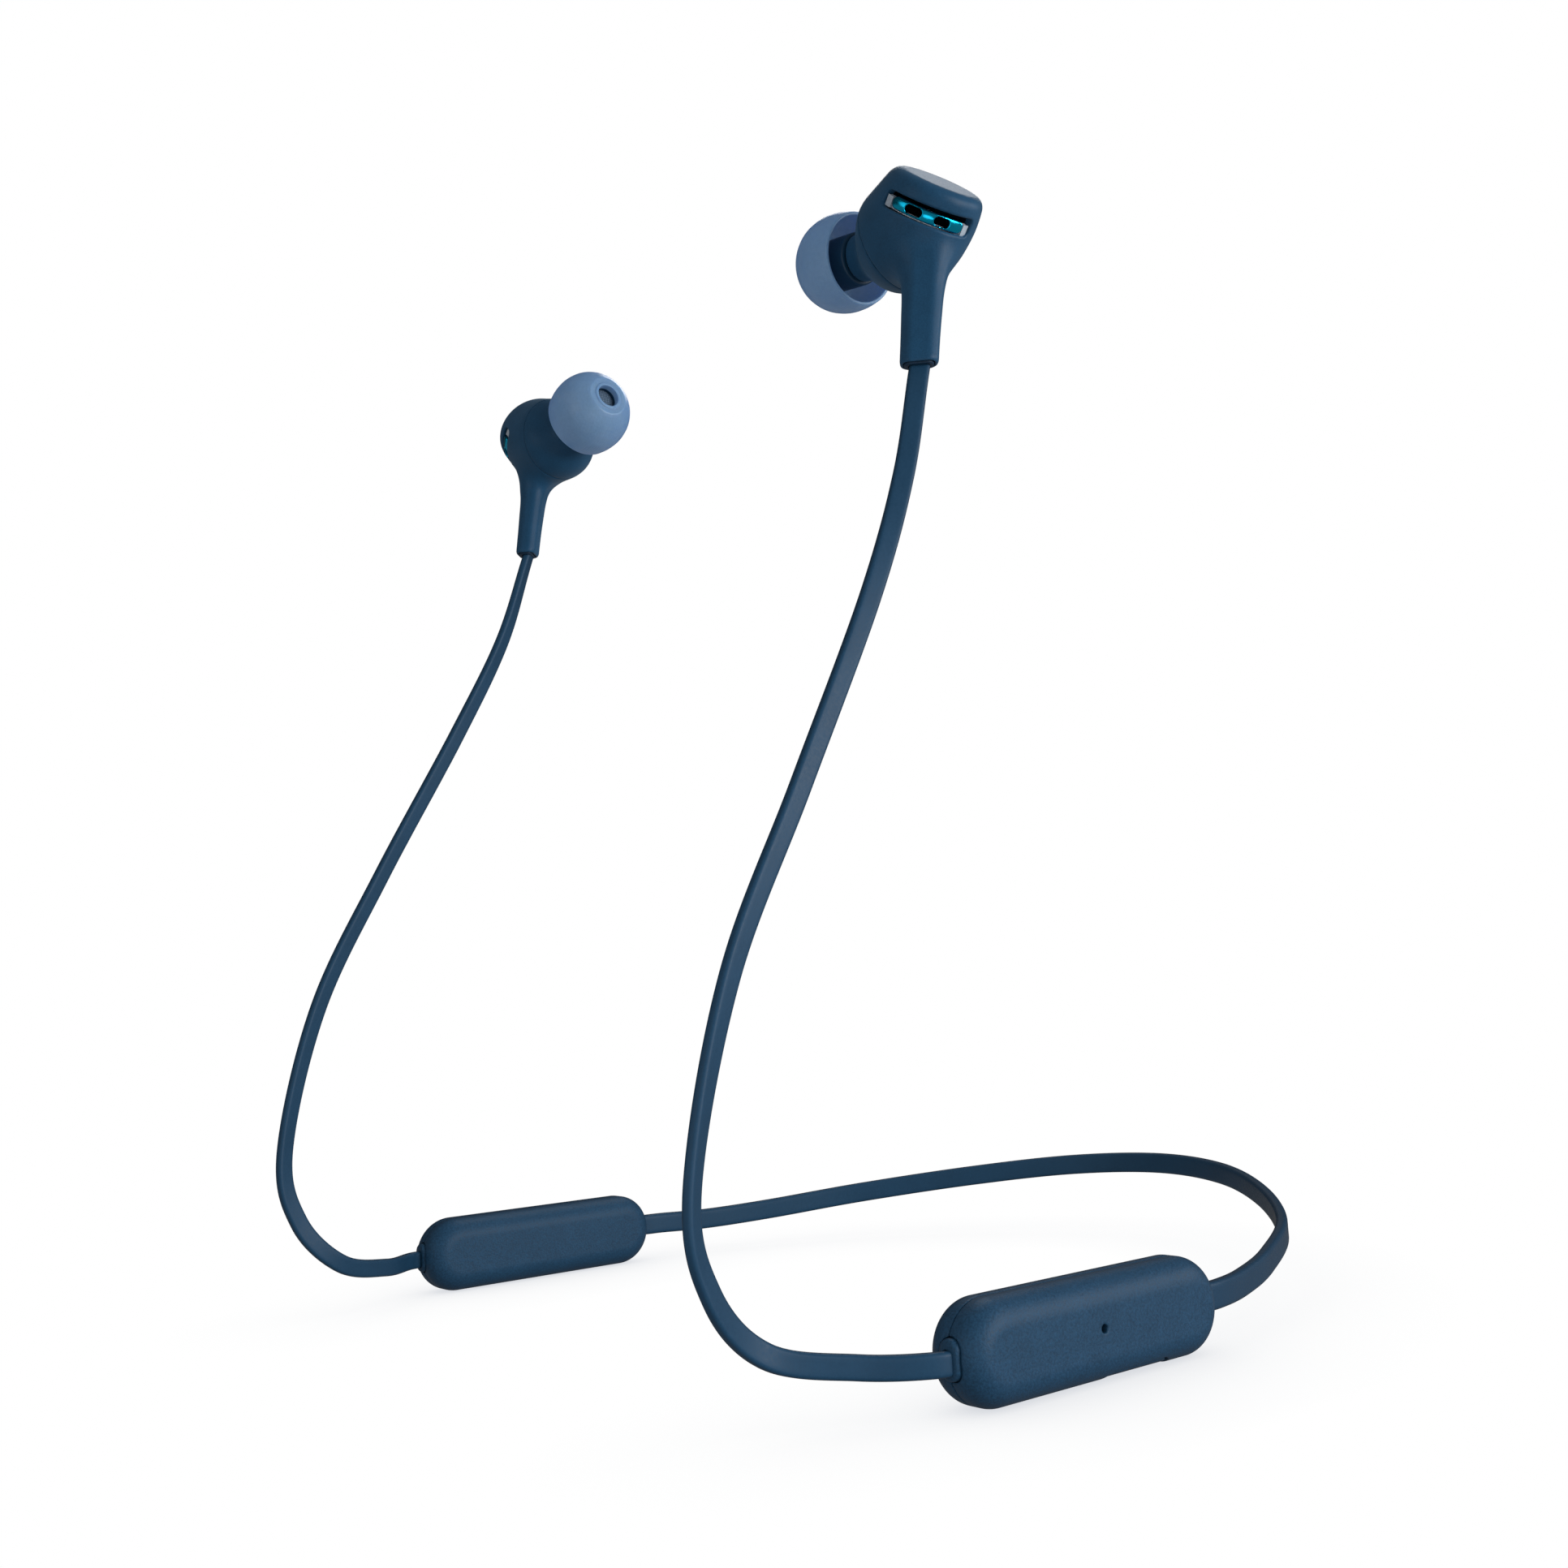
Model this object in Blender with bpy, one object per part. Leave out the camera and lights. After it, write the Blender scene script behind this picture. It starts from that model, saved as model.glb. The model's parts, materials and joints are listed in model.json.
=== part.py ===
"""Neckband earphones: two pendant units joined by a flat neck cable, and two in-ear
earbuds on flat cables.  Metres, +Z up; the wearer faces -Y and their left is +X.
The origin is the middle of the resting plane under the two units."""
from math import cos, pi, radians, sin, sqrt

import bmesh
import bpy
from mathutils import Matrix, Vector

for old in list(bpy.data.objects):
    bpy.data.objects.remove(old)

MM = 0.001                                   # every dimension below is in millimetres

# pendant units
UNIT_LENGTH, UNIT_HEIGHT, UNIT_THICK = 36.9, 9.9, 6.8
UNIT_END_R, UNIT_EDGE_R, UNIT_WALL = 4.85, 2.7, 1.1
UNIT_X, UNIT_Y = 52.2, -18.8
SPLIT_GAP = 0.16
BOOT_X = 0.3
PORT_X, PORT_Y, PORT_LONG, PORT_WIDE = 0.5, 5.4, 9.4, 3.8
MIC_Y, MIC_Z, MIC_HOLE = -0.45, 0.27, 0.9
KEY_SIZE, KEY_GAP = (3.8, 3.0), 0.25
KEYS = {"volume_up": -12.6, "play": -7.8, "volume_down": -3.0}
POWER_Y, POWER_SIZE, LAMP_Y = 8.5, 3.0, 12.5

# flat cables: width, thickness, corner radius
EAR_RIBBON = (2.3, 1.1, 0.42)
NECK_RIBBON = (2.95, 1.4, 0.55)
HINGE_GAP = 0.9
# left ear cable from the unit to the earbud: x, y, z, direction its broad face looks
EAR_PATH = ((52.3, -38.7, 4.75, 0), (48.3, -44.4, 5.0, 0), (45.0, -52.2, 6.85, 8),
            (45.0, -57.9, 12.8, 20), (45.2, -59.6, 22.05, 29), (45.5, -54.7, 40.35, 12),
            (45.6, -45.4, 57.95, 0), (44.6, -34.1, 77.95, -15), (43.2, -27.0, 92.35, -35),
            (42.37, -22.87, 105.05, -45))
RIGHT_TURN = (0, 0, 0, -10, -24, -22, -20, -18, -30, -45)
EAR_HINGE = 6                                # place of the mid-cable bend in EAR_PATH
# left half of the neck cable, from inside the unit to the back of the neck
NECK_PATH = ((52.5, -2.8, 4.95), (52.2, 3.0, 4.9), (50.0, 10.5, 4.85), (46.3, 20.5, 5.45),
             (39.3, 34.2, 6.95), (27.5, 47.2, 8.75), (14.2, 56.5, 10.15), (0.0, 60.1, 10.65))
NECK_HINGE = 4

# earbuds, written for the left one, measured from the bottom of its stem
STEM_FOOT = Vector((42.37, -22.8, 105.55))
BODY = Vector((-2.1, 3.1, 16.5))
CAP_WAY = Vector((0.67, -0.05, 0.72)).normalized()
NOZZLE_WAY = Vector((-0.985, -0.017, 0.17)).normalized()
CAP_DEPTH, NOSE_DEPTH = 6.7, 6.5
SEAM = 0.72
REAR_SHAPE = ((0.0, 4.55), (0.02, 4.95), (0.06, 5.35), (0.12, 5.65), (0.22, 5.9),
              (0.36, 6.1), (0.56, 6.16), (0.66, 6.1), (SEAM - 0.008, 5.97))
FRONT_SHAPE = ((SEAM + 0.008, 5.95), (0.76, 5.85), (0.86, 5.1),
               (0.94, 4.0), (1.0, 3.1))
STEM_SHAPE = ((0, 0, 0.0, 4.0, 2.6), (0, 0.07, 0.5, 4.3, 2.95), (0, 0.88, 6, 4.5, 3.15),
              (0, 1.4, 9.2, 4.8, 3.5), (0, 1.7, 11.0, 5.3, 4.1), (-0.2, 2.1, 12.6, 6.0, 4.8),
              (-0.6, 2.5, 14.4, 6.4, 5.2))
STEM_FACE = Vector((0.707, -0.707, 0.0))
SLOT_AT, SLOT_TURN, SLOT_SPREAD, BAR_SPREAD = 0.26, 51.0, 58.0, 45.0
SLOT_LOW, SLOT_HIGH = -0.9, 1.1            # along the body, from the bar's middle line
BAR_HEIGHT, BAR_OUTER, BAR_INNER = 1.4, 5.85, 5.35
BAR_HOLE_TURN, BAR_HOLE_SPREAD, BAR_HOLE_HEIGHT = 17.0, 9.5, 0.95
TIP_AT, TIP_R = 12.4, 5.75

FINISHES = {                                 # colour, metal, roughness
    "navy": ((0.016, 0.055, 0.105), 0, 0.5), "cable": ((0.02, 0.075, 0.13), 0, 0.45),
    "dark": ((0.01, 0.03, 0.06), 0, 0.6), "teal": ((0.0, 0.22, 0.36), 1, 0.3),
    "silicone": ((0.1, 0.2, 0.38), 0, 0.35), "core": ((0.02, 0.06, 0.12), 0, 0.4),
    "steel": ((0.55, 0.57, 0.6), 1, 0.35), "board": ((0.01, 0.12, 0.05), 0, 0.5),
    "gold": ((0.7, 0.5, 0.2), 1, 0.35), "film": ((0.65, 0.66, 0.68), 0, 0.3),
    "magnet": ((0.35, 0.35, 0.37), 1, 0.3), "cell": ((0.5, 0.52, 0.56), 0, 0.4),
    "foam": ((0.03, 0.03, 0.03), 0, 0.9), "lens": ((0.8, 0.85, 0.9), 0, 0.1),
    "mesh": ((0.2, 0.21, 0.23), 1, 0.4)}


# ---------------------------------------------------------------- mesh helpers
def paint(obj, finish):
    colour, metal, rough = FINISHES[finish]
    skin = bpy.data.materials.new(obj.name + "_finish")
    skin.use_nodes = True
    shader = skin.node_tree.nodes["Principled BSDF"]
    shader.inputs["Base Color"].default_value = (*colour, 1)
    shader.inputs["Metallic"].default_value = metal
    shader.inputs["Roughness"].default_value = rough
    obj.data.materials.clear()
    obj.data.materials.append(skin)


def tidy(obj):
    work = bmesh.new()
    work.from_mesh(obj.data)
    bmesh.ops.recalc_face_normals(work, faces=work.faces)
    for face in work.faces:
        face.smooth = True
    work.to_mesh(obj.data)
    work.free()
    obj.data.set_sharp_from_angle(angle=radians(38))


def solid(name, verts, faces, finish=None):
    mesh = bpy.data.meshes.new(name)
    mesh.from_pydata([Vector(v) * MM for v in verts], [], faces)
    obj = bpy.data.objects.new(name, mesh)
    bpy.context.collection.objects.link(obj)
    tidy(obj)
    if finish:
        paint(obj, finish)
    return obj


def loft(name, rings, finish=None, wrap=False):
    """Skin over rings of equal point counts; wrap joins the last ring to the first."""
    size = len(rings[0])
    faces = []
    for i in range(len(rings) if wrap else len(rings) - 1):
        a, b = i * size, (i + 1) % len(rings) * size
        faces += [(a + j, a + (j + 1) % size, b + (j + 1) % size, b + j) for j in range(size)]
    if not wrap:
        faces.append(tuple(range(size)))
        faces.append(tuple(range((len(rings) - 1) * size, len(rings) * size)))
    return solid(name, [p for ring in rings for p in ring], faces, finish)


def combine(target, tool, operation):
    """Cut or join one solid with another, and throw the tool away."""
    change = target.modifiers.new("shape", "BOOLEAN")
    change.operation, change.object, change.solver = operation, tool, "EXACT"
    graph = bpy.context.evaluated_depsgraph_get()
    mesh = bpy.data.meshes.new_from_object(target.evaluated_get(graph))
    target.modifiers.clear()
    target.data = mesh
    bpy.data.objects.remove(tool)
    tidy(target)
    return target


def cut(target, tool):
    return combine(target, tool, "DIFFERENCE")


def rounded(width, height, radius, steps=3):
    """Points round a rounded rectangle centred on nothing."""
    radius = min(radius, width / 2 - 0.01, height / 2 - 0.01)
    points = []
    for sx, sy, start in ((1, 1, 0), (-1, 1, 90), (-1, -1, 180), (1, -1, 270)):
        for k in range(steps + 1):
            a = radians(start + 90 * k / steps)
            points.append((sx * (width / 2 - radius) + radius * cos(a),
                           sy * (height / 2 - radius) + radius * sin(a)))
    return points


def seat(points, centre, across, up):
    return [Vector(centre) + Vector(across) * x + Vector(up) * y for x, y in points]


def circle(radius, count=24):
    return [(radius * cos(2 * pi * k / count), radius * sin(2 * pi * k / count))
            for k in range(count)]


def frame_of(way):
    """Two directions square to the given one."""
    way = Vector(way).normalized()
    side = way.cross(Vector((0.0, 1.0, 0.13))).normalized()
    return side, way.cross(side)


def turned(name, profile, foot, way, finish=None, count=22, wrap=False):
    """Solid of revolution; the profile is (distance along the axis, radius)."""
    way = Vector(way).normalized()
    side, up = frame_of(way)
    rings = [seat(circle(r, count), Vector(foot) + way * t, side, up) for t, r in profile]
    return loft(name, rings, finish, wrap)


AXES = {"x": ((0, 1, 0), (0, 0, 1)), "y": ((1, 0, 0), (0, 0, 1)), "z": ((1, 0, 0), (0, 1, 0))}


def block(name, low, high, radius, along, finish=None):
    """Rounded bar between two corners, its corner rounding running along one axis."""
    low, high = Vector(low), Vector(high)
    n = "xyz".index(along)
    i, j = [k for k in range(3) if k != n]
    size, mid = high - low, (low + high) / 2
    rings = []
    for end in (low[n], high[n]):
        centre = mid.copy()
        centre[n] = end
        rings.append(seat(rounded(size[i], size[j], radius), centre, *AXES[along]))
    return loft(name, rings, finish)


# ---------------------------------------------------------------- flat cables
def spline(points, where):
    """Point on a smooth curve through the given points; whole numbers are the points."""
    last = len(points) - 1
    i = max(0, min(last - 1, int(where)))
    f = where - i
    p1, p2 = Vector(points[i]), Vector(points[i + 1])
    p0 = Vector(points[i - 1]) if i else p1 * 2 - p2
    p3 = Vector(points[i + 2]) if i + 2 <= last else p2 * 2 - p1
    return (p1 * 2 + (p2 - p0) * f + (p0 * 2 - p1 * 5 + p2 * 4 - p3) * f * f
            + (p1 * 3 - p0 - p2 * 3 + p3) * f ** 3) / 2


def cable_frame(path, where):
    """Centre, direction and width direction of a flat cable at one place."""
    spots = [p[:3] for p in path]
    centre = spline(spots, where)
    ahead = (spline(spots, where + 0.01) - spline(spots, where - 0.01)).normalized()
    if len(path[0]) == 3:
        width = Vector((0, 0, 1))
    else:
        turn = radians(spline([(p[3], 0, 0) for p in path], where)[0])
        hand = 1 if spots[0][0] > 0 else -1
        width = ahead.cross(Vector((hand * cos(turn), sin(turn), 0)))
    width = (width - ahead * width.dot(ahead)).normalized()
    return centre, ahead, width


def ribbon(name, path, start, end, count, section, finish="cable"):
    rings = []
    for k in range(count + 1):
        centre, ahead, width = cable_frame(path, start + (end - start) * k / count)
        rings.append(seat(rounded(*section, steps=2), centre, width, ahead.cross(width)))
    return loft(name, rings, finish)


def mirrored(path):
    return tuple((-p[0], *p[1:]) for p in path)


def gap_in(path, place):
    """Half a hinge gap, measured in steps along the path."""
    spots = [p[:3] for p in path]
    speed = (spline(spots, place + 0.01) - spline(spots, place - 0.01)).length / 0.02
    return HINGE_GAP / 2 / speed


# ---------------------------------------------------------------- pendant units
def edge_inset(x, extra):
    """How far the outline shrinks at a slice through the rounded edge."""
    beyond = abs(x) - (UNIT_THICK / 2 - UNIT_EDGE_R)
    radius = UNIT_EDGE_R - extra
    if beyond <= 0:
        return extra
    return extra + radius - sqrt(max(radius ** 2 - beyond ** 2, 0))


def slice_at(side, x, inset):
    outline = rounded(UNIT_LENGTH - 2 * inset, UNIT_HEIGHT - 2 * inset, UNIT_END_R - inset, 4)
    middle = (side * (UNIT_X + x), UNIT_Y, UNIT_HEIGHT / 2)
    return seat(outline, middle, (0, 1, 0), (0, 0, 1))


def half_skin(side, hand, extra, start):
    """Slices of the rounded unit from its middle plane out to one flat face."""
    radius = UNIT_EDGE_R - extra
    base = UNIT_THICK / 2 - UNIT_EDGE_R
    xs = [start] + [base + radius * sin(radians(a)) for a in (0, 30, 60, 90)]
    return [slice_at(side, hand * x, edge_inset(x, extra)) for x in xs if x >= start]


def in_unit(side, x, y, z):
    return Vector((side * (UNIT_X + x), UNIT_Y + y, UNIT_HEIGHT / 2 + z))


def unit_block(name, side, low, high, radius, along, finish=None):
    a, b = in_unit(side, *low), in_unit(side, *high)
    pairs = [sorted(pair) for pair in zip(a, b)]
    return block(name, [p[0] for p in pairs], [p[1] for p in pairs], radius, along, finish)


def outer_half(side, label):
    """Half shell facing away from the neck, with a rebate round its rim."""
    outside = list(reversed(half_skin(side, 1, 0, SPLIT_GAP / 2)))
    rebate = [slice_at(side, SPLIT_GAP / 2, 0.5), slice_at(side, 0.65, 0.5)]
    inside = [slice_at(side, 0.65, UNIT_WALL)] + half_skin(side, 1, UNIT_WALL, 0.66)
    return loft(label + "_unit_outer_half", outside + rebate + inside, "navy")


def inner_half(side, label):
    """Half shell facing the neck, with a tongue that enters the other half."""
    outside = list(reversed(half_skin(side, -1, 0, SPLIT_GAP / 2)))
    tongue = [slice_at(side, -SPLIT_GAP / 2, 0.75), slice_at(side, 0.45, 0.75),
              slice_at(side, 0.45, UNIT_WALL)]
    inside = half_skin(side, -1, UNIT_WALL, SPLIT_GAP / 2)
    return loft(label + "_unit_inner_half", outside + tongue + inside, "navy")


def end_openings(side, shell):
    front, rear = -UNIT_LENGTH / 2, UNIT_LENGTH / 2
    cut(shell, unit_block("t", side, (BOOT_X - 1.45, front - 1, -2.15),
                          (BOOT_X + 1.45, front + 3, 2.15), 1.4, "y"))
    cut(shell, unit_block("t", side, (BOOT_X - 1.35, rear - 3, -2.2),
                          (BOOT_X + 1.35, rear + 1, 2.2), 1.3, "y"))


def boot(name, side, end, size, bore, proud):
    """Oval rubber sleeve round a cable where it enters the unit; end is -1 front, 1 rear."""
    rim = UNIT_LENGTH / 2 + proud

    def ring(inward, dims):
        middle = in_unit(side, BOOT_X, end * (rim - inward), 0)
        return seat(rounded(*dims, dims[0] / 2 - 0.05), middle, (1, 0, 0), (0, 0, 1))
    wide, tall = size
    rings = [ring(0, (wide - 0.3, tall - 0.3)), ring(0.2, size), ring(proud + 2.6, size),
             ring(proud + 2.6, (wide + 0.8, tall + 0.4)), ring(proud + 3.0, (wide + 0.8, tall + 0.4)),
             ring(proud + 3.0, bore), ring(0, bore)]
    return loft(name, rings, "dark", wrap=True)


def key(name, y, size):
    """Push button: a cap through the shell with a wider flange behind it."""
    face = -UNIT_THICK / 2

    def ring(x, grow):
        outline = rounded(size[0] + grow, size[1] + grow, 1.45 + grow / 2, 4)
        return seat(outline, in_unit(1, x, y, 0), (0, 1, 0), (0, 0, 1))
    rings = [ring(face - 0.35, -0.7), ring(face - 0.22, -0.2), ring(face - 0.05, 0),
             ring(face + 1.25, 0), ring(face + 1.25, 0.7), ring(face + 1.55, 0.7)]
    return loft(name, rings, "navy")


def key_opening(shell, y, size):
    c = [s / 2 + KEY_GAP for s in size]
    cut(shell, unit_block("t", 1, (-UNIT_THICK / 2 - 1, y - c[0], -c[1]),
                          (-1.9, y + c[0], c[1]), 1.6, "x"))


def port_box(grow, deep):
    low = (PORT_X - PORT_WIDE / 2 - grow, PORT_Y - PORT_LONG / 2 - grow, -UNIT_HEIGHT / 2 - 1)
    high = (PORT_X + PORT_WIDE / 2 + grow, PORT_Y + PORT_LONG / 2 + grow, deep)
    return unit_block("t", 1, low, high, 1.2, "z")


def usb_cover():
    """Rubber flap that follows the curve of the unit's underside, with a plug behind it."""
    rings = [slice_at(1, x, edge_inset(x, 0.04))
             for x in (-2.6, -1.9, -1.3, -0.7, 0.7, 1.3, 1.9, 2.6)]
    flap = loft("usb_cover", rings)
    combine(flap, port_box(0, -UNIT_HEIGHT / 2 + 1.0), "INTERSECT")
    plug = unit_block("t", 1, (PORT_X - 1.0, PORT_Y - 3.7, -UNIT_HEIGHT / 2 + 0.6),
                      (PORT_X + 1.0, PORT_Y + 3.4, -UNIT_HEIGHT / 2 + 2.0), 0.9, "z")
    combine(flap, plug, "UNION")
    paint(flap, "dark")
    return [flap]


def usb_socket():
    """Rolled steel shell open at the bottom, and the contact tongue inside it."""
    foot, top = -UNIT_HEIGHT / 2 + 1.35, 2.85

    def ring(z, grow):
        return seat(rounded(8.94 - grow, 3.1 - grow, 1.5 - grow / 2, 4),
                    in_unit(1, PORT_X, PORT_Y, z), (0, 1, 0), (1, 0, 0))
    shell = loft("usb_socket", [ring(foot, 0), ring(top, 0), ring(top, 0.4), ring(foot, 0.4)],
                 "steel", wrap=True)
    tongue = unit_block("usb_contact_tongue", 1, (PORT_X - 0.35, PORT_Y - 3.3, foot + 1.3),
                        (PORT_X + 0.35, PORT_Y + 3.3, top), 0.2, "z", "dark")
    return [shell, tongue]


def left_unit():
    outer, inner = outer_half(1, "left"), inner_half(1, "left")
    for shell in (outer, inner):
        end_openings(1, shell)
        cut(shell, port_box(0.25, -UNIT_HEIGHT / 2 + 2.3))
    cut(outer, turned("t", ((0, MIC_HOLE / 2), (4, MIC_HOLE / 2)),
                      in_unit(1, 1, MIC_Y, MIC_Z), (1, 0, 0), count=16))
    for y in KEYS.values():
        key_opening(inner, y, KEY_SIZE)
    key_opening(inner, POWER_Y, (POWER_SIZE, POWER_SIZE))
    cut(inner, turned("t", ((0, 0.7), (4, 0.7)), in_unit(1, -1.9, LAMP_Y, 0), (-1, 0, 0), count=16))
    return [outer, inner] + left_electronics()


def left_electronics():
    board = unit_block("left_main_board", 1, (-1.05, -15.0, -3.2), (-0.45, 0.3, 3.2), 0.8, "x",
                       "board")
    shield = unit_block("radio_shield", 1, (-0.35, -13.8, -2.7), (0.75, -6.0, 2.7), 0.4, "x",
                        "steel")
    capsule = unit_block("microphone", 1, (-0.35, -2.3, MIC_Z - 1.1), (0.5, 0.1, MIC_Z + 1.1),
                         0.2, "x", "gold")
    gasket = turned("microphone_gasket", ((0.6, 0.9), (2.2, 0.9), (2.2, 0.5), (0.6, 0.5)),
                    in_unit(1, 0, MIC_Y, MIC_Z), (1, 0, 0), "foam", 16, True)
    lamp = turned("status_lamp_lens", ((1.5, 0.7), (2.0, 0.7), (2.0, 0.5), (3.42, 0.5)),
                  in_unit(1, 0, LAMP_Y, 0), (-1, 0, 0), "lens", 14)
    return [board, shield, capsule, gasket, lamp, switch_strip()] + usb_socket()


def switch_strip():
    """Thin flexible circuit with one raised dome switch under each key."""
    strip = unit_block("switch_strip", 1, (-1.4, -14.9, -1.6), (-1.2, 13.9, 1.6), 0.5, "x", "gold")
    for y in (*KEYS.values(), POWER_Y):
        combine(strip, turned("t", ((1.3, 1.1), (1.45, 1.05), (1.58, 0.6)), in_unit(1, 0, y, 0),
                              (-1, 0, 0), count=14), "UNION")
    paint(strip, "gold")
    return strip


def right_unit():
    outer, inner = outer_half(-1, "right"), inner_half(-1, "right")
    for shell in (outer, inner):
        end_openings(-1, shell)
    cell = unit_block("battery", -1, (-1.9, -12.6, -3.2), (1.8, 11.4, 3.2), 1.7, "y", "cell")
    board = unit_block("battery_guard_board", -1, (-1.6, 12.0, -2.6), (1.6, 12.6, 2.6), 0.4, "y",
                       "board")
    pad = unit_block("battery_pad", -1, (1.9, -9.5, -2.4), (2.2, 8.5, 2.4), 0.8, "x", "foam")
    return [outer, inner, cell, board, pad]


# ---------------------------------------------------------------- earbuds
def spine(t):
    """Centre line of the earbud body, bending from the flat cap round to the nozzle."""
    cap, nose = BODY + CAP_WAY * CAP_DEPTH, BODY + NOZZLE_WAY * NOSE_DEPTH
    centre = cap * (1 - t) ** 2 + BODY * 2 * t * (1 - t) + nose * t * t
    ahead = ((BODY - cap) * (1 - t) + (nose - BODY) * t).normalized()
    side = CAP_WAY.cross(NOZZLE_WAY).normalized()
    return centre, ahead, side


def body_ring(t, radius, count=24):
    centre, ahead, side = spine(t)
    return seat(circle(radius, count), centre, side, side.cross(ahead))


def nose_ring(t, radius, count=24):
    side = CAP_WAY.cross(NOZZLE_WAY).normalized()
    return seat(circle(radius, count), BODY + NOZZLE_WAY * t, side, side.cross(NOZZLE_WAY))


def stem_ring(x, y, z, width, thick):
    across = Vector((0, 0, 1)).cross(STEM_FACE)
    return seat(rounded(width, thick, thick / 2.3, 4), (x, y, z), across, STEM_FACE)


def arc_piece(name, low, high, inner, outer, start, stop, steps=10):
    """Piece of a ring round the body at the slot, angles measured from the slot's middle."""
    centre, _, side = spine(SLOT_AT)
    ahead = -CAP_WAY
    up = side.cross(ahead)
    rings = []
    for k in range(steps + 1):
        a = radians(SLOT_TURN + start + (stop - start) * k / steps)
        out = side * cos(a) + up * sin(a)
        rings.append([centre + out * r - ahead * h
                      for r, h in ((inner, low), (outer, low), (outer, high), (inner, high))])
    return loft(name, rings)


def rear_shell():
    shell = loft("rear_housing", [body_ring(t, r) for t, r in REAR_SHAPE])
    combine(shell, loft("t", [stem_ring(*s) for s in STEM_SHAPE]), "UNION")
    hollow = ((0.08, 3.7), (0.1, 4.3), (0.16, 4.75), (0.26, 5.05), (0.4, 5.2), (0.66, 5.2), (0.76, 5.0))
    cut(shell, loft("t", [body_ring(t, r) for t, r in hollow]))
    nose = ((SEAM - 0.008, 6.15), (0.76, 6.0), (0.86, 5.25), (0.94, 4.15), (1.0, 3.25))
    cut(shell, loft("t", [body_ring(t, r) for t, r in nose]))
    cut(shell, loft("t", [stem_ring(0, -0.1, -1, 3.5, 2.1), stem_ring(0, 0.44, 3, 3.5, 2.1)]))
    cut(shell, loft("t", [stem_ring(0, 0.3, 2, 2.4, 1.2), stem_ring(-0.2, 2.2, 15.2, 2.4, 1.2)]))
    cut(shell, arc_piece("t", SLOT_LOW, SLOT_HIGH, 4.6, 8.0, -SLOT_SPREAD, SLOT_SPREAD))
    return shell


def front_shell():
    outside = [body_ring(t, r) for t, r in FRONT_SHAPE]
    tube = [(7.0, 2.75), (9.1, 2.75), (9.1, 2.1), (15.3, 2.1), (15.5, 2.3), (15.9, 2.3),
            (16.25, 2.0), (16.25, 1.75), (15.65, 1.75), (15.65, 1.4), (7.0, 1.4)]
    inside = [(0.94, 2.8), (0.86, 4.1), (0.76, 4.9), (SEAM + 0.008, 5.05)]
    rings = outside + [nose_ring(*r) for r in tube] + [body_ring(*r) for r in inside]
    return loft("front_housing", rings, wrap=True)


def grille_bar():
    """Curved metal bar with two oval holes, sitting in the slot of the rear housing."""
    half = BAR_HEIGHT / 2
    bar = arc_piece("duct_trim", -half, half, BAR_INNER, BAR_OUTER, -BAR_SPREAD, BAR_SPREAD, 14)
    for middle in (-BAR_HOLE_TURN, BAR_HOLE_TURN):
        h = BAR_HOLE_HEIGHT / 2
        cut(bar, arc_piece("t", -h, h, 5.2, 7.0, middle - BAR_HOLE_SPREAD,
                           middle + BAR_HOLE_SPREAD, 6))
    return bar


def speaker():
    """The moving-coil driver: frame, magnet and diaphragm on the body's centre line."""
    centre, ahead, _ = spine(0.5)
    frame = turned("driver_frame", ((-1.3, 3.5), (-1.3, 4.3), (-0.5, 4.8), (0.9, 4.8), (0.9, 4.3),
                                    (-0.1, 4.1), (-0.7, 3.5)), centre, ahead, wrap=True)
    magnet = turned("driver_magnet", ((-1.5, 3.0), (-1.3, 3.2), (0.1, 3.2), (0.2, 3.0)), centre, ahead)
    film = turned("driver_diaphragm", ((1.1, 0.7), (0.95, 2.0), (0.6, 3.2), (0.45, 4.1),
                                       (0.62, 4.1), (0.78, 3.2), (1.13, 2.0), (1.28, 0.7)),
                  centre, ahead)
    return [frame, magnet, film]


def ear_tip():
    """Silicone dome open at the back, and the stiffer sleeve that grips the nozzle."""
    foot = BODY + NOZZLE_WAY * TIP_AT
    dome = ((-3.0, 5.35), (-1.5, 5.7), (0, TIP_R), (2.0, 5.4), (3.6, 4.5), (4.6, 3.45),
            (5.0, 2.75), (5.0, 1.6), (4.05, 1.6), (4.05, 3.1), (2.4, 3.1), (2.5, 3.4), (2.9, 4.05),
            (1.7, 4.85), (0, 5.25), (-1.5, 5.2), (-3.0, 4.9))
    sleeve = ((-3.1, 3.05), (3.9, 3.05), (3.9, 2.45), (-3.1, 2.45))
    return [turned("eartip_dome", dome, foot, NOZZLE_WAY, wrap=True),
            turned("eartip_sleeve", sleeve, foot, NOZZLE_WAY, count=20, wrap=True)]


def clasp_magnet():
    cap = BODY + CAP_WAY * CAP_DEPTH
    return turned("clasp_magnet", ((1.35, 3.4), (1.5, 3.6), (2.35, 3.6)), cap, -CAP_WAY)


def strain_relief():
    """Rubber sleeve in the mouth of the stem, where the cable comes out."""
    shapes = ((0.02, 0.15, 3.0, 1.7), (0.38, 2.7, 3.0, 1.7), (0.38, 2.7, 1.7, 0.8),
              (0.02, 0.15, 1.7, 0.8))
    return loft("strain_relief", [stem_ring(0, y, z, w, t) for y, z, w, t in shapes], wrap=True)


BUD_FINISH = {"rear_housing": "navy", "front_housing": "navy", "duct_trim": "teal",
              "duct_plate": "steel", "driver_frame": "dark", "driver_magnet": "magnet",
              "driver_diaphragm": "film", "nozzle_mesh": "mesh", "clasp_magnet": "magnet",
              "strain_relief": "dark", "eartip_dome": "silicone", "eartip_sleeve": "core"}


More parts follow.
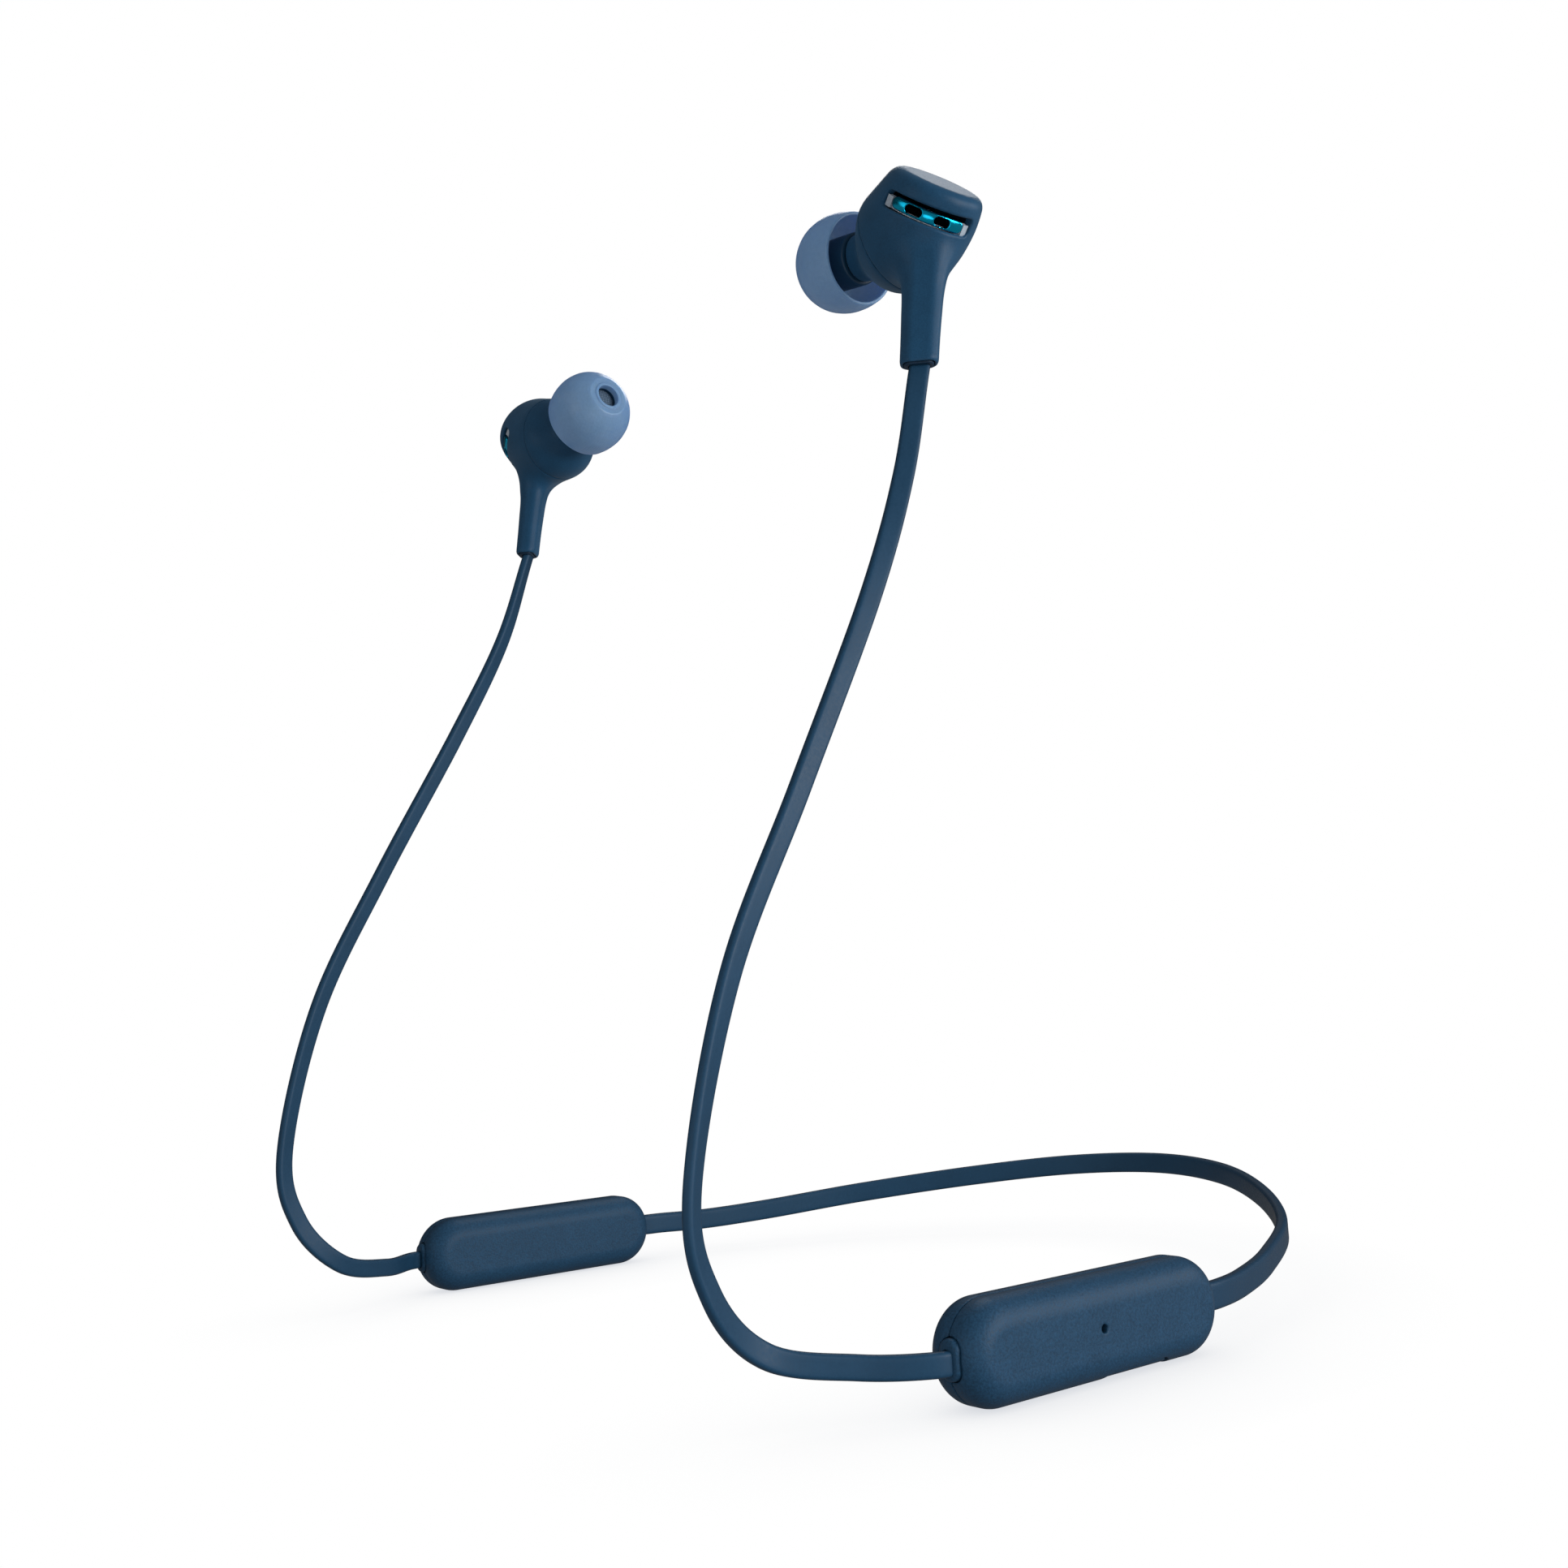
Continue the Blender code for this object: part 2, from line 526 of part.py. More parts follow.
def earbud(side, label):
    """All pieces of one earbud, moved to its place above the ear cable."""
    plate = arc_piece("duct_plate", -0.85, 0.45, 4.95, 5.2, -57.4, 57.4, 12)
    for start, stop in ((-56.9, -47.5), (47.5, 56.9)):
        combine(plate, arc_piece("t", -0.8, 0.4, 5.05, 5.65, start, stop, 3), "UNION")
    cut(plate, arc_piece("t", -0.5, 0.6, 4.7, 5.3, -34, 34, 8))
    screen = turned("nozzle_mesh", ((15.77, 1.62), (16.05, 1.62), (16.15, 1.2)), BODY, NOZZLE_WAY,
                    count=20)
    pieces = [rear_shell(), front_shell(), grille_bar(), plate, screen, clasp_magnet(),
              strain_relief()] + speaker() + ear_tip()
    place = earbud_place(side)
    for piece in pieces:
        piece.data.transform(place)
        if side < 0:
            piece.data.flip_normals()
        finish = BUD_FINISH[piece.name.split(".")[0]]
        piece.name = label + "_" + piece.name.split(".")[0]
        tidy(piece)
        paint(piece, finish)
    return pieces


def earbud_place(side):
    """Stand the earbud on its stem's foot, mirrored for the right ear."""
    mirror = Matrix.Scale(-1, 4, (1, 0, 0)) if side < 0 else Matrix.Identity(4)
    return mirror @ Matrix.Translation(STEM_FOOT * MM)


# ---------------------------------------------------------------- joints and assembly
def pivot(name, spot, pieces):
    """An empty on the joint axis that carries the pieces which move with it."""
    empty = bpy.data.objects.new(name, None)
    empty.location = Vector(spot) * MM
    empty.empty_display_size = 0.004
    bpy.context.collection.objects.link(empty)
    bpy.context.view_layer.update()
    for piece in pieces:
        piece.parent = empty
        piece.matrix_parent_inverse = empty.matrix_world.inverted()
    return empty


def ear_cables(side, label):
    path = EAR_PATH
    if side < 0:
        turned_path = [(*p[:3], turn) for p, turn in zip(EAR_PATH, RIGHT_TURN)]
        path = mirrored(turned_path)
    g, last = gap_in(path, EAR_HINGE), len(path) - 1
    lower = ribbon(label + "_ear_cable_lower", path, 0.08, EAR_HINGE - g, 18, EAR_RIBBON)
    upper = ribbon(label + "_ear_cable_upper", path, EAR_HINGE + g, last, 9, EAR_RIBBON)
    centre, _, _ = cable_frame(path, EAR_HINGE)
    pivot(label + "_cable_base_axis", spline([p[:3] for p in path], 0), [lower])
    pivot(label + "_cable_bend_axis", centre, [upper])


def neck_cables():
    whole = NECK_PATH + tuple(reversed(mirrored(NECK_PATH)))[1:]
    last = len(whole) - 1
    g = gap_in(whole, NECK_HINGE)
    ribbon("neck_cable", whole, NECK_HINGE + g, last - NECK_HINGE - g, 18, NECK_RIBBON)
    left = ribbon("left_neck_cable", whole, 0, NECK_HINGE - g, 10, NECK_RIBBON)
    right = ribbon("right_neck_cable", whole, last, last - NECK_HINGE + g, 10, NECK_RIBBON)
    return left, right, Vector(NECK_PATH[NECK_HINGE])


def build_side(side, label, neck, unit_pieces, hinge):
    front = boot(label + "_front_boot", side, -1, (2.4, 3.6), (1.3, 2.5), 0.2)
    rear = boot(label + "_rear_boot", side, 1, (2.4, 4.0), (1.75, 3.25), 0.1)
    spot = Vector((side * hinge.x, hinge.y, hinge.z))
    pivot(label + "_unit_axis", spot, unit_pieces + [neck, front, rear])
    ear_cables(side, label)
    pieces = earbud(side, label)
    foot = Vector((side * STEM_FOOT.x, STEM_FOOT.y, STEM_FOOT.z - 0.4))
    pivot(label + "_earbud_axis", foot, [p for p in pieces if "eartip" not in p.name])
    tip = earbud_place(side) @ ((BODY + NOZZLE_WAY * TIP_AT) * MM) / MM
    pivot(label + "_eartip_axis", tip, [p for p in pieces if "eartip" in p.name])


left_neck, right_neck, neck_hinge = neck_cables()
build_side(1, "left", left_neck, left_unit(), neck_hinge)
build_side(-1, "right", right_neck, right_unit(), neck_hinge)
for key_name, key_y in KEYS.items():
    cap = key(key_name + "_button", key_y, KEY_SIZE)
    pivot(key_name + "_axis", in_unit(1, -UNIT_THICK / 2, key_y, 0), [cap])
power = key("power_button", POWER_Y, (POWER_SIZE, POWER_SIZE))
pivot("power_axis", in_unit(1, -UNIT_THICK / 2, POWER_Y, 0), [power])
pivot("usb_cover_axis", in_unit(1, PORT_X, PORT_Y + PORT_LONG / 2, -UNIT_HEIGHT / 2 + 0.1),
      usb_cover())
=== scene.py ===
"""Finished look of the neckband earphones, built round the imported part.

Lengths are millimetres in the part's own frame, +Z up, where the wearer faces -Y and their
left is +X.  Only the studio's and the materials' lengths are metres.  Unit and earbud shapes
are written for the left side and mirrored for the right one."""

import json
from math import cos, pi, radians, sin

import bpy
import numpy as np
from mathutils import Matrix, Vector
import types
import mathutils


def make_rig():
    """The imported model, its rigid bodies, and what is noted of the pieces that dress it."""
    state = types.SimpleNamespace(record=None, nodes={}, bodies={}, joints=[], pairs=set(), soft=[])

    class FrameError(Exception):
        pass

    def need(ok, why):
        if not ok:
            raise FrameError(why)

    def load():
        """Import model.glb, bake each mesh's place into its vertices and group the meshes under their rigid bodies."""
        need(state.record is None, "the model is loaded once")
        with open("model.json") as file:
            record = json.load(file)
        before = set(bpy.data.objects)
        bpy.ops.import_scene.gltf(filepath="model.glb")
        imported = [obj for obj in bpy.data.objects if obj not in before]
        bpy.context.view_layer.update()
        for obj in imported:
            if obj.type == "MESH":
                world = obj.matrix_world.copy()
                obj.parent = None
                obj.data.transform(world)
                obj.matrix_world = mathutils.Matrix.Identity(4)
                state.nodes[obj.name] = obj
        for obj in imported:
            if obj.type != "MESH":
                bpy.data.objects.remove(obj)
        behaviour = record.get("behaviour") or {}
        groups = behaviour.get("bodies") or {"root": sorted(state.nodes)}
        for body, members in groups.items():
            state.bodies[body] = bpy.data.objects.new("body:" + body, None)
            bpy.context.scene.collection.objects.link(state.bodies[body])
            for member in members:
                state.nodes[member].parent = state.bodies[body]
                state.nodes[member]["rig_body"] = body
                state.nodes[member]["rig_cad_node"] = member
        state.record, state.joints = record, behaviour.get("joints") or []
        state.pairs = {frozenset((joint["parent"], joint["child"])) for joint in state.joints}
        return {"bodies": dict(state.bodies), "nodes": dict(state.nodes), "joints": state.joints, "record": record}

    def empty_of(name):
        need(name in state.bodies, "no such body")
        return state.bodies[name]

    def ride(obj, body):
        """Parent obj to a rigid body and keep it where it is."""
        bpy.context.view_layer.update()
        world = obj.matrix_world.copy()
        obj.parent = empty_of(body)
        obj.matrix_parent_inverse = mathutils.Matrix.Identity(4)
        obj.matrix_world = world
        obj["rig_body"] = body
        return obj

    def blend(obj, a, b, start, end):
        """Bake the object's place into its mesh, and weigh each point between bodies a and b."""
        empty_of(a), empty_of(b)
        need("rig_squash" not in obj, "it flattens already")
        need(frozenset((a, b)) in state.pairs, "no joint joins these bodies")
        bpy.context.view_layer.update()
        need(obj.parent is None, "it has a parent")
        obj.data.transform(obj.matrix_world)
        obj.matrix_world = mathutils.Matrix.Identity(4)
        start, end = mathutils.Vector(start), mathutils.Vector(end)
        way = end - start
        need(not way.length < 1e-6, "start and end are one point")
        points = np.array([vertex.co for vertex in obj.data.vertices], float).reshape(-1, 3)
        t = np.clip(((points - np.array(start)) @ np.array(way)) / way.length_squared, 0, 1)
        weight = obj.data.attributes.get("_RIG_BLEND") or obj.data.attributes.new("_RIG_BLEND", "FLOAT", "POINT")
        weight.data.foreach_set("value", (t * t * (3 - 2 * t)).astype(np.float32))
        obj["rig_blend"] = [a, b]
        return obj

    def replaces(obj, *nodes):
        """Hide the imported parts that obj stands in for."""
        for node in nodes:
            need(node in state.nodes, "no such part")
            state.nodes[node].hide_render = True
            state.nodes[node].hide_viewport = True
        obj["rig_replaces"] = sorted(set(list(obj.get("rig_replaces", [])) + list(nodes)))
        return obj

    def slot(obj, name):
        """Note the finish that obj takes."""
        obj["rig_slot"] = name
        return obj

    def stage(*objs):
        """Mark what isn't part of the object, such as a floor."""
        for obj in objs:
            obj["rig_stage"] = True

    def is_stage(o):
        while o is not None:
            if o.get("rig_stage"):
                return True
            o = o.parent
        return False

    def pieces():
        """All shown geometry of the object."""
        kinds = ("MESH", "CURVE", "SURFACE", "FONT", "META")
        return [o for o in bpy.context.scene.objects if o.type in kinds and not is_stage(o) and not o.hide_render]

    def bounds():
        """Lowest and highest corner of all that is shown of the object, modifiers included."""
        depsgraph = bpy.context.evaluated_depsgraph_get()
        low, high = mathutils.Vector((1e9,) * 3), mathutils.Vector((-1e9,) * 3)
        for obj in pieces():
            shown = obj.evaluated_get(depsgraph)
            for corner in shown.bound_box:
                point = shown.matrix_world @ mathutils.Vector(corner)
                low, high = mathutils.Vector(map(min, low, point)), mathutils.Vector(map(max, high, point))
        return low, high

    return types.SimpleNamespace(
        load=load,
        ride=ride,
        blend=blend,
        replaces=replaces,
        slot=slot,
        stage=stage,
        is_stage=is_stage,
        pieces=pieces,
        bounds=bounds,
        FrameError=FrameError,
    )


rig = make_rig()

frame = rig.load()
CAD_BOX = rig.bounds()
MM = 0.001


# ---------------------------------------------------------------- units
# places on a unit are measured from its middle, x towards its outer face
UNIT_LENGTH, UNIT_HEIGHT, UNIT_THICK = 36.9, 9.9, 6.8
UNIT_END_R, UNIT_EDGE_R, UNIT_WALL = 4.85, 2.7, 1.1
UNIT_X, UNIT_Y, UNIT_Z = 52.2, -18.8, 4.95
HALF_GAP = 0.035                       # from the parting plane to each half shell
MIC_Y, MIC_Z, MIC_R, MIC_TO = -0.45, 0.27, 0.42, 1.0
LAMP_Y, LAMP_R = 12.5, 0.55
# charging port: its cover's place, length, width and corner radius; the gap round the cover
# and the opening's depth; then the cover's inset and thickness
PORT_X, PORT_Y, PORT_LONG, PORT_WIDE, PORT_CORNER = 0.5, 5.4, 9.4, 3.8, 1.2
PORT_GAP, PORT_DEEP, FLAP_INSET, FLAP_THICK = 0.2, 2.2, 0.1, 1.0
# plug on the cover's back: half width, half length, corner radius, its middle from the unit's
# lower edge, half height, and how far it sits forward
PLUG, PLUG_AT, PLUG_HALF, PLUG_SHIFT = (1.0, 3.55, 0.95), 1.3, 0.7, 0.15
# keys: y of the middle, length, height
KEYS = {"volume_up": (-12.6, 3.8, 3.0), "play": (-7.8, 3.8, 3.0),
        "volume_down": (-3.0, 3.8, 3.0), "power": (8.5, 3.0, 3.0)}
# a key's corner radius, rise above the face, crown and depth; the flange that holds it: how
# much wider, its corner radius, depth and half thickness; the opening: gap, corner radius and
# the x it is cut to
KEY_CORNER, KEY_RISE, KEY_CROWN, KEY_DEEP = 1.4, 0.34, 0.1, 1.3
FLANGE, FLANGE_CORNER, FLANGE_AT, FLANGE_HALF = 0.35, 1.7, 1.4, 0.15
KEY_GAP, KEY_HOLE_CORNER, KEY_HOLE_TO = 0.2, 1.6, -1.9
# small raised feel marks on the keys: centre y, centre z, half length, half height
KEY_MARKS = {"volume_up": ((0, 0, 0.75, 0.13), (0, 0, 0.13, 0.75)), "play": ((0, 0, 0.32, 0.32),),
             "volume_down": ((0, 0, 0.75, 0.13),), "power": ((0, 0, 0.13, 0.5),)}
MARK_AT, MARK_HALF = 0.3, 0.17         # their middle above the unit's face, and half height

# openings for the rubber boots: half width, half height in front and behind, corner radius
BOOT_X, BOOT_DEPTH = 0.3, 3.0
ENTRY_WIDE, ENTRY_FRONT, ENTRY_REAR, ENTRY_CORNER = 1.32, 2.0, 2.15, 1.3
# rubber boots: end of the unit, (width, height), bore, the bore's shift, how far it stands out
BOOTS = {"front": (-1, (2.44, 3.85), (1.1, 2.3), (-0.13, -0.2), 0.16),
         "rear": (1, (2.44, 4.1), (1.42, 2.96), (0, 0), 0.04)}

# ---------------------------------------------------------------- cables
# width, thickness and edge radius; then the points of the middle lines, the ear cables' with
# the turn of their flat face in degrees, and the number of the point that each bends at
EAR_RIBBON, NECK_RIBBON = (2.3, 1.1, 0.42), (2.95, 1.4, 0.5)
EAR_ENTRY = (52.5, -34.6, 4.75, 0)     # the ear cable's end inside the front boot
EAR_PATH = ((52.3, -38.7, 4.75, 0), (48.3, -44.4, 5.0, 0), (45.0, -52.2, 6.85, 8),
            (45.0, -57.9, 12.8, 20), (45.2, -59.6, 22.05, 29), (45.5, -54.7, 40.35, 12),
            (45.6, -45.4, 57.95, 0), (44.6, -34.1, 77.95, -15), (43.2, -27.0, 92.35, -35),
            (42.37, -22.87, 105.05, -45))
# the turn at each of those points for the right ear cable
RIGHT_TURN = (0, 0, 0, -10, -24, -22, -20, -18, -30, -45)
EAR_BEND = 6
# the neck cable's path ends in the middle, behind the neck
NECK_PATH = ((52.5, -2.8, 4.95), (52.2, 3.0, 4.9), (50.0, 10.5, 4.85), (46.3, 20.5, 5.45),
             (39.3, 34.2, 6.95), (27.5, 47.2, 8.75), (14.2, 56.5, 10.15), (0.0, 60.1, 10.65))
NECK_BEND = 4
# where the ear cable's pieces begin and end, counted in points from EAR_ENTRY
EAR_CUTS = (0.0, 2.5, 8.5, 10.16)
# how far each side of a joint the cable's skin bends
SWING_SPREAD, BEND_SPREAD, TILT_SPREAD, NECK_SPREAD = 2.4, 3.8, 2.2, 5.2

# ---------------------------------------------------------------- left earbud
# measured from the foot of its stem: the middle of its body, the flat cap's and the nozzle's
# directions, and the bent centre line from the cap (0) by the body to the nose (1)
FOOT = np.array((42.37, -22.8, 105.55))
BODY = np.array((-2.1, 3.1, 16.5))


def unit_vector(v):
    v = np.array(v, float)
    return v / np.linalg.norm(v)


CAP_WAY, NOZZLE_WAY = unit_vector((0.67, -0.05, 0.72)), unit_vector((-0.985, -0.017, 0.17))
CAP, NOSE = BODY + CAP_WAY * 6.7, BODY + NOZZLE_WAY * 6.5
SIDE_WAY = unit_vector(np.cross(CAP_WAY, NOZZLE_WAY))
# place on the centre line and radius of the body there
BODY_R = ((0, 5.32), (0.06, 5.5), (0.12, 5.68), (0.22, 5.92), (0.36, 6.1), (0.56, 6.16),
          (0.66, 6.1), (0.76, 5.85), (0.86, 5.1), (0.94, 4.05), (1.0, 3.1), (1.3, 3.1))
CAP_ROUND, NOSE_ROUND, STEM_BLEND, NOZZLE_BLEND = 1.3, 0.6, 2.6, 1.5
BUD_WALL, CAP_WALL, NOSE_WALL = 1.05, 1.3, 0.8
# where the front housing begins on the centre line, its gap, and how far the rear housing
# steps in under it
SEAM, SEAM_GAP, SEAM_STEP = 0.72, 0.04, 0.12
# stem sections: x, y and height of the middle, width, thickness
STEM = ((0, 0, 0.0, 4.3, 2.95), (0, 0.07, 0.5, 4.3, 2.95), (0, 0.88, 6, 4.5, 3.15),
        (0, 1.4, 9.2, 4.8, 3.5), (0, 1.7, 11.0, 5.3, 4.1), (-0.2, 2.1, 12.6, 5.9, 4.7),
        (-0.6, 2.5, 14.4, 6.2, 5.0))
STEM_TOP, STEM_END = 14.4, 15.5        # height of the last section, and of the stem's end
STEM_FACE = np.array((0.7071, -0.7071, 0.0))
STEM_SIDE = np.array((0.7071, 0.7071, 0.0))
# slot: place on the centre line, middle of its arc in degrees and the radius that its length
# is measured at; half length, half height, corner radius and the radius it is cut to; how far
# it sits up, and how far it leans over half its length
SLOT_AT, SLOT_TURN, ARC_R = 0.26, 51.0, 5.6
SLOT_LONG, SLOT_TALL, SLOT_CORNER, SLOT_TO = 5.67, 0.98, 0.6, 4.62
SLOT_UP, SLOT_LEAN, LEAN_LONG = 0.12, 0.12, 5.5
# bar in the slot: half length, half height, corner radius, inner and outer radius, crown;
# then its holes' middle and half length, and their half height and corner radius
BAR_LONG, BAR_TALL, BAR_CORNER, BAR_IN, BAR_OUT, BAR_CROWN = 4.4, 0.7, 0.6, 5.36, 5.9, 0.16
BAR_HOLES, HOLE_TALL, HOLE_CORNER = ((-1.66, 0.98), (1.66, 0.9)), 0.5, 0.48
# nozzle: distance from the body's middle and radius; its bore, and the seat of its screen
NOZZLE = ((5.5, 2.75), (9.0, 2.75), (9.25, 2.1), (15.2, 2.1), (15.45, 2.3), (15.9, 2.3),
          (16.25, 2.05))
BORE_R, BORE_FROM, SEAT_R, SEAT_FROM = 1.4, 6.0, 1.75, 15.65
CLOTH = ((15.77, 1.62), (16.01, 1.62), (16.12, 1.3), (16.18, 0.8), (16.2, 0.2))
# rubber sleeve in the stem's mouth: half width, half thickness and corner radius
MOUTH, SLEEVE, CABLE_HOLE = (1.72, 1.05, 0.8), (1.66, 0.99, 0.8), (1.18, 0.58, 0.45)
MOUTH_DEEP, SLEEVE_MIDDLE, SLEEVE_HALF = 2.7, 1.4, 1.25
MOUTH_LEAN, MOUTH_SHIFT = 0.15, -0.02  # the stem's foot leans back as it rises
# eartip, measured along the nozzle from the middle of the dome: place, radius, and the
# rounding of the corner there
TIP_AT = 12.4
TIP_DOME = ((-3.0, 5.33, 0.16), (-1.5, 5.68, 1.2), (0.3, 5.76, 2.0), (2.2, 5.32, 2.0),
            (3.7, 4.4, 1.5), (4.62, 3.35, 0.8), (4.95, 2.85, 0.15), (4.9, 2.1, 0.1),
            (5.08, 1.98, 0.08), (5.08, 1.62, 0.12), (4.05, 1.6, 0.1), (4.05, 3.1, 0.3),
            (2.45, 3.1, 0.2), (2.9, 4.1, 0.8), (1.7, 4.9, 1.5), (0, 5.27, 1.5),
            (-1.5, 5.25, 1.2), (-3.0, 4.95, 0.16))
TIP_CORE = ((-3.1, 3.05, 0.3), (3.9, 3.05, 0.2), (3.9, 2.42, 0.1), (-3.1, 2.42, 0.15))

# ---------------------------------------------------------------- nets
# grid spacing of the nets that the curved shells are made from, and how many points are
# worked out at a time
BUD_STEP, UNIT_STEP, BAR_STEP, KEY_STEP, SMALL_STEP = 0.125, 0.14, 0.07, 0.09, 0.1
BLOCK = 200000

# ---------------------------------------------------------------- materials and studio
# depths of the grain, the eartip's dots and the screen's weave, and how many of the last two
# fit along a metre
GRAIN_DEEP, DOT_DEEP, WEAVE_DEEP = 0.00005, 0.00003, 0.00008
DOTS, THREADS = 2600.0, 1100.0
FLOOR_SIZE, FLOOR_DROP, SHADE_REACH = 6.0, 0.00005, 0.02
# strength of the white room: as light, in reflections, and of the floor as light
ROOM_LIGHT, ROOM_SHINE, FLOOR_LIGHT = 0.5, 0.06, 0.3
# round soft lamps: name, place, what it faces, width, power in watts
LAMPS = (("key", (0.42, 0.13, 0.12), (0, 0, 0.06), 0.26, 1.4),
         ("rim", (0.25, 0.32, 0.19), (0.02, 0, 0.12), 0.14, 0.35),
         ("back", (-0.12, 0.16, 0.3), (0.04, -0.02, 0.12), 0.14, 0.2),
         ("fill", (0.06, -0.37, 0.11), (0.02, 0, 0.09), 0.2, 0.12),
         ("glint", (0.128, -0.10, 0.012), (0.047, -0.019, 0.121), 0.08, 0.03))
# camera: place, and in degrees the azimuth and elevation that it looks from and its roll;
# lens and sensor in millimetres
CAMERA_PLACE = (0.162, -0.1426, 0.0374)
CAMERA_AZIMUTH, CAMERA_ELEVATION, CAMERA_ROLL = -39.276, -7.814, -2.884
CAMERA_LENS, CAMERA_SENSOR, CAMERA_CLIP = 37.04, 36, 0.005


# ---------------------------------------------------------------- distance fields
def dot(a, b):
    return (a * b).sum(-1)


def soft_min(a, b, k):
    """The smaller of two distances, rounded over about k where they meet."""
    h = np.clip(0.5 + 0.5 * (b - a) / k, 0, 1)
    return b + (a - b) * h - k * h * (1 - h)


def soft_max(a, b, k):
    """The larger of two distances, rounded likewise: what two shapes share."""
    return -soft_min(-a, -b, k)


def smooth_through(table, at):
    """Smooth curve through (x, value) pairs."""
    x, y = np.array(table, float).T
    slope = np.gradient(y, x)
    i = np.clip(np.searchsorted(x, at) - 1, 0, len(x) - 2)
    width = x[i + 1] - x[i]
    f = np.clip((at - x[i]) / width, 0, 1)
    return (y[i] * (1 + 2 * f) * (1 - f) ** 2 + y[i + 1] * f * f * (3 - 2 * f)
            + slope[i] * width * f * (1 - f) ** 2 - slope[i + 1] * width * f * f * (1 - f))


def box2(x, y, half_x, half_y, radius):
    """Distance to a rounded rectangle in the plane."""
    qx, qy = np.abs(x) - half_x + radius, np.abs(y) - half_y + radius
    return (np.hypot(np.maximum(qx, 0), np.maximum(qy, 0))
            + np.minimum(np.maximum(qx, qy), 0) - radius)


def spine(t):
    """Points of the earbud's bent centre line, and half the change per unit of t there."""
    t = np.asarray(t, float)[..., None]
    centre = CAP * (1 - t) ** 2 + BODY * 2 * t * (1 - t) + NOSE * t * t
    ahead = (BODY - CAP) * (1 - t) + (NOSE - BODY) * t
    return centre, ahead


def on_spine(p):
    """Nearest place along the earbud's bent centre line, and the distance from it."""
    t = np.full(len(p), 0.5)
    bend = 2 * (CAP - 2 * BODY + NOSE)
    for _ in range(5):                 # Newton's method on the squared distance
        centre, ahead = spine(t)
        step = dot(p - centre, 2 * ahead)
        stiff = np.maximum(dot(2 * ahead, 2 * ahead) - dot(p - centre, bend), 25)
        t = np.clip(t + step / stiff, -0.4, 1.3)
    centre, _ = spine(t)
    return t, np.linalg.norm(p - centre, axis=1)


def body_field(p, place):
    """Earbud body, cut flat at the cap and at the nose."""
    t, away = place
    side = away - smooth_through(BODY_R, t)
    side = soft_max(side, dot(p - CAP, CAP_WAY), CAP_ROUND)
    return soft_max(side, dot(p - NOSE, NOZZLE_WAY), NOSE_ROUND)


def stem_field(p):
    """Flattened stem, from its foot up into the body."""
    z = p[:, 2]
    x, y, wide, thick = (smooth_through([(s[2], s[k]) for s in STEM], np.clip(z, 0, STEM_TOP))
                         for k in (0, 1, 3, 4))
    d = p - np.stack((x, y, z), 1)
    rounded = box2(dot(d, STEM_SIDE), dot(d, STEM_FACE), wide / 2, thick / 2, thick / 2.2)
    return soft_max(soft_max(rounded, -z, 1.0), z - STEM_END, 2.0)


def seam_field(p):
    """Distance in front of the plane that parts the earbud's housings."""
    centre, ahead = spine(SEAM)
    return dot(p - centre, unit_vector(ahead))


def ring_place(p):
    """Arc length, height and radius in the ring round the body that holds the slot."""
    centre, _ = spine(SLOT_AT)
    d = p - centre
    height = dot(d, CAP_WAY)
    up = np.cross(SIDE_WAY, -CAP_WAY)
    a, b = dot(d, SIDE_WAY), dot(d, up)
    turn = np.degrees(np.arctan2(b, a)) - SLOT_TURN
    turn = (turn + 180) % 360 - 180
    return np.radians(turn) * ARC_R, height, np.hypot(a, b)


def slot_field(p):
    """Slot that the bar sits in."""
    s, h, r = ring_place(p)
    middle = SLOT_UP + SLOT_LEAN * np.clip(s / LEAN_LONG, -1, 1)
    return np.maximum(box2(s, h - middle, SLOT_LONG, SLOT_TALL, SLOT_CORNER), SLOT_TO - r)


def across_stem(p):
    """Place across the stem's foot: along its wide side and along its narrow one."""
    z = p[:, 2]
    d = p - np.stack((0 * z, MOUTH_LEAN * z + MOUTH_SHIFT, z), 1)
    return dot(d, STEM_SIDE), dot(d, STEM_FACE)


def mouth_field(p):
    """Opening in the stem's foot."""
    return np.maximum(box2(*across_stem(p), *MOUTH), p[:, 2] - MOUTH_DEEP)


def relief_field(p):
    """Rubber sleeve in the stem's mouth, with the cable's hole through it."""
    a, b = across_stem(p)
    shape = soft_max(box2(a, b, *SLEEVE), np.abs(p[:, 2] - SLEEVE_MIDDLE) - SLEEVE_HALF, 0.3)
    return np.maximum(shape, -box2(a, b, *CABLE_HOLE))


def hollow_field(p, place):
    """Room inside the earbud's body."""
    t, away = place
    inner = away - smooth_through(BODY_R, t) + BUD_WALL
    return soft_max(inner, dot(p - CAP, CAP_WAY) + CAP_WALL, 0.8)


def rear_field(p):
    """Rear housing: the body behind the seam with the stem, hollowed, with its openings."""
    place = on_spine(p)
    body = body_field(p, place)
    shape = soft_min(body, stem_field(p), STEM_BLEND)
    beyond = soft_max(body - SEAM_STEP, SEAM_GAP - seam_field(p), 0.05)
    shape = soft_max(shape, -beyond, 0.2)
    shape = np.maximum(shape, -hollow_field(p, place))
    shape = soft_max(shape, -slot_field(p), 0.3)
    return soft_max(shape, -mouth_field(p), 0.36)


def nozzle_field(p):
    """Outside of the nozzle, and the bore through it."""
    s = dot(p - BODY, NOZZLE_WAY)
    r = np.linalg.norm(p - BODY - NOZZLE_WAY * s[:, None], axis=1)
    x, y = zip(*NOZZLE)
    outside = soft_max(soft_max(r - np.interp(s, x, y), s - x[-1], 0.2), x[0] - s, 0.2)
    bore = np.maximum(r - np.where(s > SEAT_FROM, SEAT_R, BORE_R), BORE_FROM - s)
    return outside, bore


